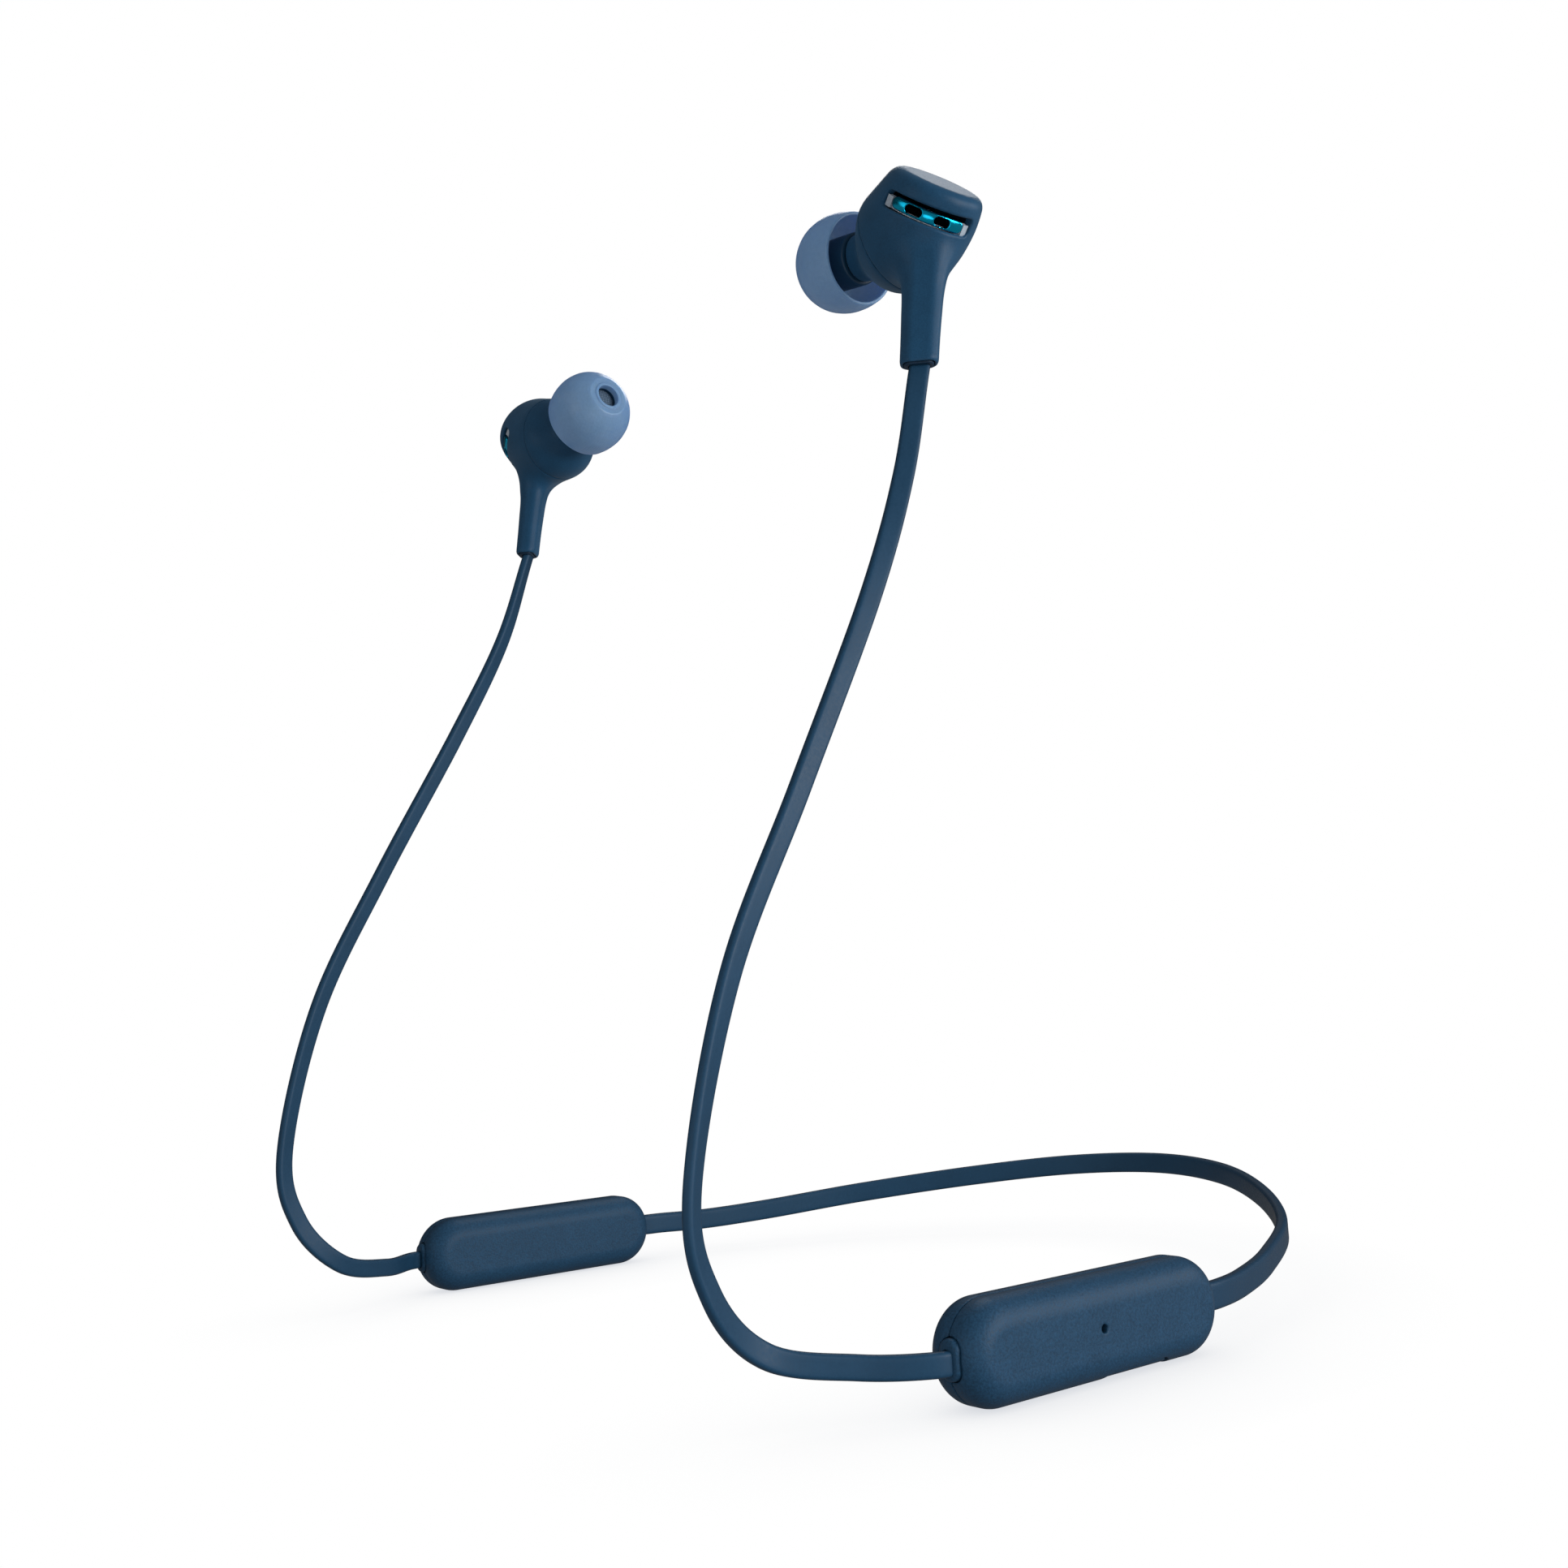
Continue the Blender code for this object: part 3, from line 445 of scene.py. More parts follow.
def front_field(p):
    """Front housing: the body in front of the seam with the nozzle, hollowed."""
    place = on_spine(p)
    outside, bore = nozzle_field(p)
    shape = soft_min(body_field(p, place), outside, NOZZLE_BLEND)
    shape = soft_max(shape, SEAM_GAP - seam_field(p), 0.2)
    inside = np.maximum(hollow_field(p, place), dot(p - NOSE, NOZZLE_WAY) + NOSE_WALL)
    shape = np.maximum(shape, -inside)
    return soft_max(shape, -bore, 0.12)


def bar_field(p):
    """Crowned bar with its two oval holes, bent round the body."""
    s, h, r = ring_place(p)
    crown = BAR_OUT - BAR_CROWN * (h / BAR_TALL) ** 2
    bar = soft_max(box2(s, h, BAR_LONG, BAR_TALL, BAR_CORNER),
                   np.maximum(r - crown, BAR_IN - r), 0.2)
    for middle, half in BAR_HOLES:
        hole = box2(s - middle, h, half, HOLE_TALL, HOLE_CORNER)
        bar = soft_max(bar, -hole, 0.12)
    return bar


def lozenge(p, inset=0.0):
    """The rounded pendant unit, or its shape that much further in."""
    radius = UNIT_EDGE_R - inset
    a = box2(p[:, 1], p[:, 2], UNIT_LENGTH / 2 - inset, UNIT_HEIGHT / 2 - inset,
             UNIT_END_R - inset) + radius
    b = np.abs(p[:, 0]) - (UNIT_THICK / 2 - inset - radius)
    return (np.hypot(np.maximum(a, 0), np.maximum(b, 0))
            + np.minimum(np.maximum(a, b), 0) - radius)


def boot_openings(p):
    """Both openings that the rubber boots sit in."""
    x, y, z = p.T
    deep = UNIT_LENGTH / 2 - BOOT_DEPTH
    front = np.maximum(box2(x - BOOT_X, z, ENTRY_WIDE, ENTRY_FRONT, ENTRY_CORNER), y + deep)
    rear = np.maximum(box2(x - BOOT_X, z, ENTRY_WIDE, ENTRY_REAR, ENTRY_CORNER), deep - y)
    return np.minimum(front, rear)


def port_opening(p):
    """Opening in the lower edge for the charging port's cover."""
    x, y, z = p.T
    outline = box2(x - PORT_X, y - PORT_Y, PORT_WIDE / 2 + PORT_GAP, PORT_LONG / 2 + PORT_GAP,
                   PORT_CORNER + 0.1)
    return np.maximum(outline, z + UNIT_HEIGHT / 2 - PORT_DEEP)


def half_field(outer, left):
    """Field of one half shell, with the openings that it has."""
    way = 1 if outer else -1

    def field(p):
        shape = soft_max(lozenge(p), HALF_GAP - way * p[:, 0], 0.14)
        shape = np.maximum(shape, -lozenge(p, UNIT_WALL))
        shape = soft_max(shape, -boot_openings(p), 0.18)
        if not left:
            return shape
        shape = soft_max(shape, -port_opening(p), 0.16)
        if outer:
            r = np.hypot(p[:, 1] - MIC_Y, p[:, 2] - MIC_Z)
            return soft_max(shape, -np.maximum(r - MIC_R, MIC_TO - p[:, 0]), 0.2)
        for y, long, tall in KEYS.values():
            hole = box2(p[:, 1] - y, p[:, 2], long / 2 + KEY_GAP, tall / 2 + KEY_GAP,
                        KEY_HOLE_CORNER)
            shape = soft_max(shape, -np.maximum(hole, p[:, 0] - KEY_HOLE_TO), 0.16)
        r = np.hypot(p[:, 1] - LAMP_Y, p[:, 2])
        return soft_max(shape, -np.maximum(r - LAMP_R, p[:, 0] - KEY_HOLE_TO), 0.12)
    return field


def cover_field(p):
    """Flap of the charging port, flush with the unit, and the plug behind it."""
    x, y, z = p.T
    outline = box2(x - PORT_X, y - PORT_Y, PORT_WIDE / 2, PORT_LONG / 2, PORT_CORNER)
    flap = soft_max(lozenge(p, FLAP_INSET), outline, 0.14)
    flap = soft_max(flap, z + UNIT_HEIGHT / 2 - FLAP_THICK, 0.1)
    plug = soft_max(box2(x - PORT_X, y - PORT_Y + PLUG_SHIFT, *PLUG),
                    np.abs(z + UNIT_HEIGHT / 2 - PLUG_AT) - PLUG_HALF, 0.3)
    return soft_min(flap, plug, 0.1)


def key_field(name):
    """Field of a key: crowned cap, the flange that holds it inside, and its feel mark."""
    y0, long, tall = KEYS[name]

    def field(p):
        x, y, z = p[:, 0] + UNIT_THICK / 2, p[:, 1] - y0, p[:, 2]
        face = -KEY_RISE + KEY_CROWN * ((2 * y / long) ** 2 + (2 * z / tall) ** 2) / 2
        cap = soft_max(box2(y, z, long / 2, tall / 2, KEY_CORNER), face - x, 0.3)
        cap = soft_max(cap, x - KEY_DEEP, 0.1)
        flange = box2(y, z, long / 2 + FLANGE, tall / 2 + FLANGE, FLANGE_CORNER)
        cap = np.minimum(cap, np.maximum(flange, np.abs(x - FLANGE_AT) - FLANGE_HALF))
        for y_mark, z_mark, *half in KEY_MARKS[name]:
            mark = box2(y - y_mark, z - z_mark, *half, min(half))
            cap = soft_min(cap, np.maximum(mark, np.abs(x + MARK_AT) - MARK_HALF), 0.12)
        return cap
    return field


# ---------------------------------------------------------------- skins of the fields
def gradient(field, p):
    """Slope of a field at each point."""
    reach = 0.02
    return np.stack([(field(p + step) - field(p - step)) / (2 * reach)
                     for step in np.eye(3) * reach], 1)


def net(value, low, step):
    """Closed net of quads round the cells where the field changes sign."""
    shape = tuple(np.array(value.shape) - 1)
    total, count, quads = np.zeros((np.prod(shape), 3)), np.zeros(np.prod(shape)), []
    for n in range(3):
        first = tuple(slice(None, -1) if k == n else slice(None) for k in range(3))
        last = tuple(slice(1, None) if k == n else slice(None) for k in range(3))
        a, b = value[first], value[last]
        spots = np.argwhere((a < 0) != (b < 0))
        va, vb = a[tuple(spots.T)], b[tuple(spots.T)]
        point = spots.astype(float)
        point[:, n] += va / (va - vb)
        corners = []
        for du, dv in ((0, 0), (1, 0), (1, 1), (0, 1)):
            cell = spots.copy()
            cell[:, (n + 1) % 3] -= du
            cell[:, (n + 2) % 3] -= dv
            flat = np.ravel_multi_index(cell.T, shape)
            np.add.at(total, flat, point)
            np.add.at(count, flat, 1)
            corners.append(flat)
        quad = np.stack(corners, 1)
        quad[va > 0] = quad[va > 0][:, ::-1]
        quads.append(quad)
    used = np.flatnonzero(count)
    names = np.zeros(len(count), int)
    names[used] = np.arange(len(used))
    points = total[used] / count[used, None] * step + low
    return points, names[np.concatenate(quads)]


def settle(field, points, limit, rounds=1):
    """Move points onto the surface, by no more than limit in a round."""
    for _ in range(rounds):
        slope = gradient(field, points)
        move = slope * (field(points) / np.maximum(dot(slope, slope), 0.2))[:, None]
        size = np.linalg.norm(move, axis=1, keepdims=True)
        points = points - move * np.minimum(1, limit / np.maximum(size, 1e-9))
    return points


def relax(points, quads, share):
    """Move each point part of the way to the middle of its neighbours."""
    total, count = np.zeros_like(points), np.zeros(len(points))
    for a, b in ((0, 1), (1, 2), (2, 3), (3, 0)):
        np.add.at(total, quads[:, a], points[quads[:, b]])
        np.add.at(total, quads[:, b], points[quads[:, a]])
        np.add.at(count, quads[:, a], 1)
        np.add.at(count, quads[:, b], 1)
    return points * (1 - share) + total / count[:, None] * share


def skin(field, low, high, step):
    """Smooth closed surface where the field is zero.  The field is worked out on a coarse
    grid first, and on the fine one only near the surface."""
    low, high, stride = np.array(low, float), np.array(high, float), 4
    count = (np.ceil((high - low) / step / stride).astype(int)) * stride + 1
    coarse = [np.arange(0, n, stride) for n in count]
    grid = np.stack(np.meshgrid(*coarse, indexing="ij"), -1)
    rough = field(grid.reshape(-1, 3) * step + low).reshape(grid.shape[:3])
    value = rough[np.ix_(*[(np.arange(n) + stride // 2) // stride for n in count])]
    close = np.argwhere(np.abs(value) < step * stride * 1.15)
    for part in np.array_split(close, 1 + len(close) // BLOCK):
        value[tuple(part.T)] = field(part * step + low)
    points, quads = net(value, low, step)
    points = settle(field, points, step, 2)
    for _ in range(2):
        points = settle(field, relax(points, quads, 0.5), step)
    return points, quads


# ---------------------------------------------------------------- meshes
def put(name, data):
    """New object in the scene."""
    obj = bpy.data.objects.new(name, data)
    bpy.context.scene.collection.objects.link(obj)
    return obj


def new_piece(name, points, faces, look, sharp=40):
    """Smooth mesh, with creases only where its faces turn by more than sharp degrees."""
    mesh = bpy.data.meshes.new(name)
    mesh.from_pydata((np.asarray(points) * MM).tolist(), [], [list(map(int, f)) for f in faces])
    mesh.materials.append(look)
    mesh.shade_smooth()
    mesh.set_sharp_from_angle(angle=radians(sharp))
    return put(name, mesh)


def flipped(points, faces):
    """Mirror image in X, with the faces turned to keep facing out."""
    return np.asarray(points) * (-1, 1, 1), [tuple(reversed(f)) for f in faces]


def fit(piece, body, slot, node):
    """Make a piece move with its body and stand for its CAD node."""
    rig.ride(piece, body)
    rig.slot(piece, slot)
    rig.replaces(piece, node)


def turned(profile, foot, way, count=96, wrap=True):
    """Surface of revolution through (distance along the axis, radius)."""
    way = unit_vector(way)
    side = unit_vector(np.cross(way, (0, 1, 0.13)))
    up = np.cross(way, side)
    points, faces = [], []
    for along, radius in profile:
        for k in range(count):
            a = 2 * pi * k / count
            points.append(foot + way * along + (side * cos(a) + up * sin(a)) * radius)
    rows = len(profile)
    for i in range(rows if wrap else rows - 1):
        a, b = i * count, (i + 1) % rows * count
        faces += [(a + j, a + (j + 1) % count, b + (j + 1) % count, b + j) for j in range(count)]
    if not wrap:
        faces.append(tuple(reversed(range(count))))
        faces.append(tuple(range((rows - 1) * count, rows * count)))
    return np.array(points), faces


def rounded_profile(corners, steps):
    """Closed profile with each corner rounded by its own amount."""
    out, n = [], len(corners)
    for i, (*here, amount) in enumerate(corners):
        here = np.array(here)
        before, after = np.array(corners[i - 1][:2]), np.array(corners[(i + 1) % n][:2])
        reach = min(amount, *(0.45 * np.linalg.norm(way - here) for way in (before, after)))
        a, b = (here + unit_vector(way - here) * reach for way in (before, after))
        for k in range(steps + 1):
            f = k / steps
            out.append(tuple(a * (1 - f) ** 2 + here * 2 * f * (1 - f) + b * f * f))
    return out


# ---------------------------------------------------------------- cables
def curve(points, where):
    """Smooth curve through the points; where counts them from 0."""
    last = len(points) - 1
    i = max(0, min(last - 1, int(where)))
    f = where - i
    p1, p2 = Vector(points[i]), Vector(points[i + 1])
    p0 = Vector(points[i - 1]) if i else p1 * 2 - p2
    p3 = Vector(points[i + 2]) if i + 2 <= last else p2 * 2 - p1
    return (p1 * 2 + (p2 - p0) * f + (p0 * 2 - p1 * 5 + p2 * 4 - p3) * f * f
            + (p1 * 3 - p0 - p2 * 3 + p3) * f ** 3) / 2


def cable_frame(path, where):
    """Middle of the cable, its direction and the direction of its width there."""
    spots = [p[:3] for p in path]
    centre = curve(spots, where)
    ahead = (curve(spots, where + 0.01) - curve(spots, where - 0.01)).normalized()
    if len(path[0]) == 3:
        width = Vector((0, 0, 1))
    else:
        turn = radians(curve([(p[3], 0, 0) for p in path], where)[0])
        hand = 1 if spots[0][0] > 0 else -1
        width = ahead.cross(Vector((hand * cos(turn), sin(turn), 0)))
    width = (width - ahead * width.dot(ahead)).normalized()
    return centre, ahead, width


def ribbon_section(wide, thick, radius, steps=5):
    """Outline of the flat cable: rounded edges, and points across the two broad faces."""
    points = []
    for sx, sy, start in ((1, 1, 0), (-1, 1, 90), (-1, -1, 180), (1, -1, 270)):
        for k in range(steps + 1):
            a = radians(start + 90 * k / steps)
            points.append((sx * (wide / 2 - radius) + radius * cos(a),
                           sy * (thick / 2 - radius) + radius * sin(a)))
        if sx == sy:
            for f in (0.6, 0.2, -0.2, -0.6):
                points.append((sx * f * (wide / 2 - radius), sy * thick / 2))
    return points


def cable(name, path, start, stop, count, section, look):
    """Closed ribbon along part of a path, in count lengths."""
    outline = ribbon_section(*section)
    size, points, faces = len(outline), [], []
    for k in range(count + 1):
        centre, ahead, width = cable_frame(path, start + (stop - start) * k / count)
        thick = ahead.cross(width)
        points += [tuple(centre + width * x + thick * y) for x, y in outline]
    for k in range(count):
        a, b = k * size, (k + 1) * size
        faces += [(a + j, b + j, b + (j + 1) % size, a + (j + 1) % size) for j in range(size)]
    faces.append(tuple(range(size)))
    faces.append(tuple(reversed(range(count * size, (count + 1) * size))))
    return new_piece(name, points, facing_out(points, faces), look, 50)


def facing_out(points, faces):
    """The faces, turned over if they enclose a negative volume."""
    p = np.array(points, float)
    volume = sum(np.dot(p[f[0]], np.cross(p[f[i]], p[f[i + 1]]))
                 for f in faces for i in range(1, len(f) - 1))
    return faces if volume >= 0 else [tuple(reversed(f)) for f in faces]


def mirrored(path):
    """A left cable's path on the right side."""
    return tuple((-p[0], *p[1:]) for p in path)


def near(path, where, spread):
    """Points just before and just after a place on a cable, in metres."""
    centre, way, _ = cable_frame(path, where)
    return (centre - way * spread) * MM, (centre + way * spread) * MM


# ---------------------------------------------------------------- materials
def feed(tree, entry, source):
    """Link another node's output to an input, or set the input's own value."""
    if isinstance(source, bpy.types.NodeSocket):
        tree.links.new(source, entry)
    else:
        entry.default_value = source


def wire(tree, kind, links=None, **values):
    """New node with its settings, and with its inputs linked or set."""
    node = tree.nodes.new(kind)
    for key, value in values.items():
        setattr(node, key, value)
    for entry, source in (links or {}).items():
        feed(tree, node.inputs[entry], source)
    return node


def noise(tree, coords, scale, detail=2.0, rough=0.5):
    """Strength of a noise with that many spots along a metre."""
    return wire(tree, "ShaderNodeTexNoise", {"Vector": coords, "Scale": scale, "Detail": detail,
                                             "Roughness": rough}).outputs["Fac"]


def span(tree, value, low, high):
    """Stretch the middle of a noise to run from low to high."""
    node = wire(tree, "ShaderNodeMapRange", {"Value": value, "From Min": 0.3, "From Max": 0.7,
                                             "To Min": low, "To Max": high})
    return node.outputs["Result"]


def blend_colour(tree, share, a, b, way="MIX"):
    """Two colours mixed, each one given as red, green and blue or as a node's output."""
    node = wire(tree, "ShaderNodeMix", {0: share}, data_type="RGBA", blend_type=way)
    for entry, colour in ((6, a), (7, b)):
        feed(tree, node.inputs[entry], (*colour, 1) if isinstance(colour, tuple) else colour)
    return node.outputs[2]


def nodes_of(look):
    """A material's node tree, its shader and new texture coordinates."""
    tree = look.node_tree
    return tree, tree.nodes["Principled BSDF"], wire(tree, "ShaderNodeTexCoord").outputs["Object"]


def finish(name, colour, rough, metal=0.0, grain=0.25, bump=0.25, mottle=0.1, fleck=0.1,
           shine=0.35, rim=None, stretch=None, sheen=0.0):
    """Moulded or metal surface: fine grain in bump and roughness, soft uneven colour, and,
    if rim is given as (colour, blend), a painted dark rim where the surface turns away from the
    eye: painted shade that stands in for dark surroundings reflected at such edges.  grain is its
    size in millimetres."""
    look = bpy.data.materials.new(name)
    look.use_nodes = True
    tree, shader, coords = nodes_of(look)
    if stretch:
        coords = wire(tree, "ShaderNodeMapping", {"Vector": coords, "Scale": stretch}).outputs[0]
    fine = noise(tree, coords, 1 / (grain * MM), 3, 0.6)
    broad = noise(tree, coords, 1 / (grain * 14 * MM), 2)
    darker, lighter = [tuple(c * (1 + s * mottle) for c in colour) for s in (-1, 1)]
    tint = blend_colour(tree, span(tree, broad, 0, 1), darker, lighter)
    speck = [(1 + s * fleck,) * 3 for s in (-1, 1)]
    flecks = blend_colour(tree, span(tree, fine, 0, 1), *speck)
    tint = blend_colour(tree, 1, tint, flecks, "MULTIPLY")
    # painted shade: towards grazing angles the colour turns to the rim colour, standing in for a dark reflection at
    # the edges
    if rim:
        edge = wire(tree, "ShaderNodeLayerWeight", {"Blend": rim[1]}).outputs["Facing"]
        tint = blend_colour(tree, edge, tint, rim[0])
    tree.links.new(tint, shader.inputs["Base Color"])
    tree.links.new(span(tree, fine, rough - 0.07, rough + 0.07), shader.inputs["Roughness"])
    relief = wire(tree, "ShaderNodeBump", {"Height": fine, "Strength": bump,
                                           "Distance": GRAIN_DEEP})
    tree.links.new(relief.outputs["Normal"], shader.inputs["Normal"])
    shader.inputs["Metallic"].default_value = metal
    shader.inputs["Specular IOR Level"].default_value = shine
    shader.inputs["Sheen Weight"].default_value = sheen
    shader.inputs["Sheen Tint"].default_value = (0.5, 0.75, 1.0, 1)
    return look


def silicone():
    """Eartip skin: a little see-through where it faces the eye, dense at its edges, with fine
    moulded dots."""
    # painted shade: the rim colour gives the skin a darker, deeper blue where it turns away from the eye
    look = finish("tip_silicone_look", (0.15, 0.26, 0.4), 0.36, grain=0.4, bump=0.12,
                  mottle=0.05, fleck=0.06, shine=0.45, rim=((0.07, 0.16, 0.36), 0.25))
    tree, shader, coords = nodes_of(look)
    dots = wire(tree, "ShaderNodeTexVoronoi",
                {"Vector": coords, "Scale": DOTS, "Randomness": 0.1})
    spot = wire(tree, "ShaderNodeMapRange", {"Value": dots.outputs["Distance"], "From Min": 0.2,
                                             "From Max": 0.5, "To Min": 0.0, "To Max": 1.0})
    edge = wire(tree, "ShaderNodeLayerWeight", {"Blend": 0.35}).outputs["Facing"]
    dense = wire(tree, "ShaderNodeMapRange", {"Value": edge, "From Min": 0.0, "From Max": 0.8,
                                              "To Min": 0.88, "To Max": 0.99})
    tree.links.new(dense.outputs[0], shader.inputs["Alpha"])
    relief = wire(tree, "ShaderNodeBump", {"Height": spot.outputs[0], "Strength": 0.2,
                                           "Distance": DOT_DEEP})
    tree.links.new(relief.outputs["Normal"], shader.inputs["Normal"])
    shader.inputs["Subsurface Weight"].default_value = 0.6
    shader.inputs["Subsurface Radius"].default_value = (0.6, 0.9, 1.4)
    shader.inputs["Subsurface Scale"].default_value = MM
    # a faint glow stands for the light that the skin lets through
    shader.inputs["Emission Color"].default_value = (0.26, 0.5, 0.9, 1)
    shader.inputs["Emission Strength"].default_value = 0.075
    return look


def woven_screen():
    """Fine woven cloth over the nozzle's mouth."""
    look = finish("screen_mesh_look", (0.1, 0.15, 0.22), 0.45, 0.4, grain=0.12, bump=0.1)
    tree, shader, coords = nodes_of(look)
    threads = [wire(tree, "ShaderNodeTexWave", {"Vector": coords, "Scale": THREADS},
                    bands_direction=axis).outputs["Fac"] for axis in ("Y", "Z")]
    weave = wire(tree, "ShaderNodeMath", dict(enumerate(threads)), operation="MULTIPLY").outputs[0]
    tint = blend_colour(tree, weave, (0.06, 0.1, 0.15), (0.22, 0.31, 0.42))
    tree.links.new(tint, shader.inputs["Base Color"])
    relief = wire(tree, "ShaderNodeBump", {"Height": weave, "Strength": 0.8,
                                           "Distance": WEAVE_DEEP})
    tree.links.new(relief.outputs["Normal"], shader.inputs["Normal"])
    return look


LOOKS = {
    # painted shade: the rim colour darkens the shells where they turn away from the eye
    "navy": finish("navy_shell_look", (0.011, 0.050, 0.104), 0.52, grain=0.24, bump=0.75,
                   mottle=0.05, fleck=0.26, shine=0.2, rim=((0.001, 0.006, 0.016), 0.12)),
    "bud": finish("navy_bud_look", (0.009, 0.052, 0.112), 0.44, grain=0.18, bump=0.3,
                  mottle=0.06, fleck=0.12, shine=0.15, sheen=0.1),
    # painted shade: the rim colour darkens the cable where it turns away from the eye
    "cable": finish("cable_rubber_look", (0.010, 0.05, 0.105), 0.5, grain=0.3, bump=0.08,
                    mottle=0.05, fleck=0.06, shine=0.22, rim=((0.0, 0.003, 0.01), 0.2)),
    "dark": finish("dark_rubber_look", (0.004, 0.022, 0.05), 0.55, grain=0.25, bump=0.15,
                   shine=0.25),
    "teal": finish("teal_bar_look", (0.006, 0.36, 0.56), 0.19, 1.0, grain=0.1, bump=0.04,
                   mottle=0.05, fleck=0.05, stretch=(1, 1, 4)),
    "tip": silicone(),
    "core": finish("tip_core_look", (0.008, 0.04, 0.085), 0.4, grain=0.3, bump=0.1),
    "steel": finish("steel_look", (0.55, 0.58, 0.62), 0.26, 1.0, grain=0.15, bump=0.15,
                    stretch=(1, 6, 1)),
    "satin": finish("satin_plate_look", (0.45, 0.52, 0.6), 0.35, 0.35, grain=0.12, bump=0.1),
    "board": finish("circuit_board_look", (0.008, 0.11, 0.045), 0.35, grain=0.5, bump=0.3),
    "gold": finish("contact_gold_look", (0.75, 0.52, 0.2), 0.3, 1.0, grain=0.2),
    "film": finish("film_look", (0.6, 0.62, 0.65), 0.3, grain=0.2, bump=0.1),
    "magnet": finish("magnet_look", (0.5, 0.5, 0.52), 0.25, 1.0, grain=0.25, bump=0.1),
    "cell": finish("cell_foil_look", (0.52, 0.54, 0.58), 0.34, 0.8, grain=0.5, bump=0.35),
    "foam": finish("foam_look", (0.02, 0.02, 0.02), 0.9, grain=0.3, bump=0.9, fleck=0.4),
    "lens": finish("lamp_lens_look", (0.7, 0.78, 0.85), 0.15, grain=0.3, bump=0.05),
    "mesh": woven_screen(),
}
SLOTS = {"navy": "navy_shell", "bud": "navy_shell", "cable": "cable_rubber",
         "dark": "dark_rubber", "teal": "teal_bar", "tip": "tip_silicone", "core": "tip_core",
         "mesh": "screen_mesh"}
# finish of each inner node, by the end of its name
CAD_LOOKS = {"board": ("main_board", "guard_board"), "steel": ("radio_shield", "usb_socket"),
             "satin": ("plate",), "gold": ("microphone", "switch_strip"),
             "foam": ("gasket", "pad"), "cell": ("battery",), "lens": ("lens",),
             "dark": ("tongue", "driver_frame"), "film": ("diaphragm",), "magnet": ("magnet",)}


def dress_cad():
    """Give each carried-over inner piece its own finish."""
    for name, obj in frame["nodes"].items():
        look = "dark"
        for key, words in CAD_LOOKS.items():
            if any(name.endswith(word) for word in words):
                look = key
        obj.data.materials.clear()
        obj.data.materials.append(LOOKS[look])


# ---------------------------------------------------------------- pieces
def build_cables(side, label):
    """Ear cable in three pieces, each bending across one joint."""
    path = (EAR_ENTRY,) + EAR_PATH
    if side < 0:
        path = mirrored([(*p[:3], turn) for p, turn in zip(path, (0,) + RIGHT_TURN)])
    path += (tuple(2 * a - b for a, b in zip(path[-1], path[-2])),)
    unit, lower, upper, bud = (f"{label}_{body}" for body in (
        "unit", "ear_cable_lower", "ear_cable_upper", "earbud"))
    # how many lengths each piece has, its bodies, its joint's place on the path and spread,
    # and the CAD node that it stands for
    pieces = (("at_unit", 40, unit, lower, 1, SWING_SPREAD, None),
              ("middle", 120, lower, upper, EAR_BEND + 1, BEND_SPREAD, lower),
              ("at_earbud", 40, upper, bud, len(EAR_PATH), TILT_SPREAD, upper))
    for k, (word, count, a, b, joint, spread, node) in enumerate(pieces):
        piece = cable(f"{label}_cable_{word}", path, EAR_CUTS[k], EAR_CUTS[k + 1], count,
                      EAR_RIBBON, LOOKS["cable"])
        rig.slot(piece, SLOTS["cable"])
        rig.blend(piece, a, b, *near(path, joint, spread))
        if node:
            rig.replaces(piece, node)


def build_neck(side, label):
    """Half of the neck cable, from a unit to the middle."""
    whole = NECK_PATH if side > 0 else mirrored(NECK_PATH)
    beyond = whole + ((-whole[-2][0], whole[-2][1], whole[-2][2]),)
    piece = cable(label + "_neck_ribbon", beyond, 0.0, len(whole) - 1.0, 120, NECK_RIBBON,
                  LOOKS["cable"])
    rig.slot(piece, SLOTS["cable"])
    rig.blend(piece, label + "_unit", "neck_cable", *near(beyond, NECK_BEND, NECK_SPREAD))
    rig.replaces(piece, label + "_neck_cable")
    if side > 0:                       # the two halves also cover the CAD's middle length
        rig.replaces(piece, "neck_cable")


def boot_mesh(side, end, size, bore, shift, proud):
    """Oval rubber sleeve with a softly rounded lip round the cable."""
    wide, tall = size
    rim = UNIT_LENGTH / 2 + proud
    # distance inwards, width and height of each ring
    rings = ((0.75, bore[0], bore[1]), (0.02, bore[0], bore[1]),
             (-0.03, bore[0] + 0.1, bore[1] + 0.1), (-0.02, wide - 0.7, tall - 0.7),
             (0.05, wide - 0.35, tall - 0.35), (0.17, wide - 0.1, tall - 0.1), (0.38, wide, tall),
             (2.6, wide, tall), (2.6, wide + 0.5, tall + 0.4),
             (BOOT_DEPTH, wide + 0.5, tall + 0.4), (BOOT_DEPTH, bore[0], bore[1]))
    count, points, faces = 48, [], []
    for inward, w, t in rings:
        for k in range(count):
            a = 2 * pi * k / count
            r = w / 2
            stretch = max(t / 2 - r, 0)
            z = r * sin(a) + (stretch if sin(a) > 0 else -stretch)
            off = shift if t < bore[1] + 0.2 else (0, 0)
            points.append((side * (UNIT_X + BOOT_X + off[0] + r * cos(a)),
                           UNIT_Y + end * (rim - inward), UNIT_Z + off[1] + z))
    n = len(rings)
    for i in range(n):
        a, b = i * count, (i + 1) % n * count
        faces += [(a + j, b + j, b + (j + 1) % count, a + (j + 1) % count) for j in range(count)]
    return points, facing_out(points, faces)


def unit_piece(name, field, side, low, high, step, body, node):
    """Piece of a unit, from its field in the unit's own frame."""
    points, quads = skin(field, low, high, step)
    if side < 0:
        quads = quads[:, ::-1]
    points = points * (side, 1, 1) + (side * UNIT_X, UNIT_Y, UNIT_Z)
    fit(new_piece(name, points, quads, LOOKS["navy"]), body, SLOTS["navy"], node)


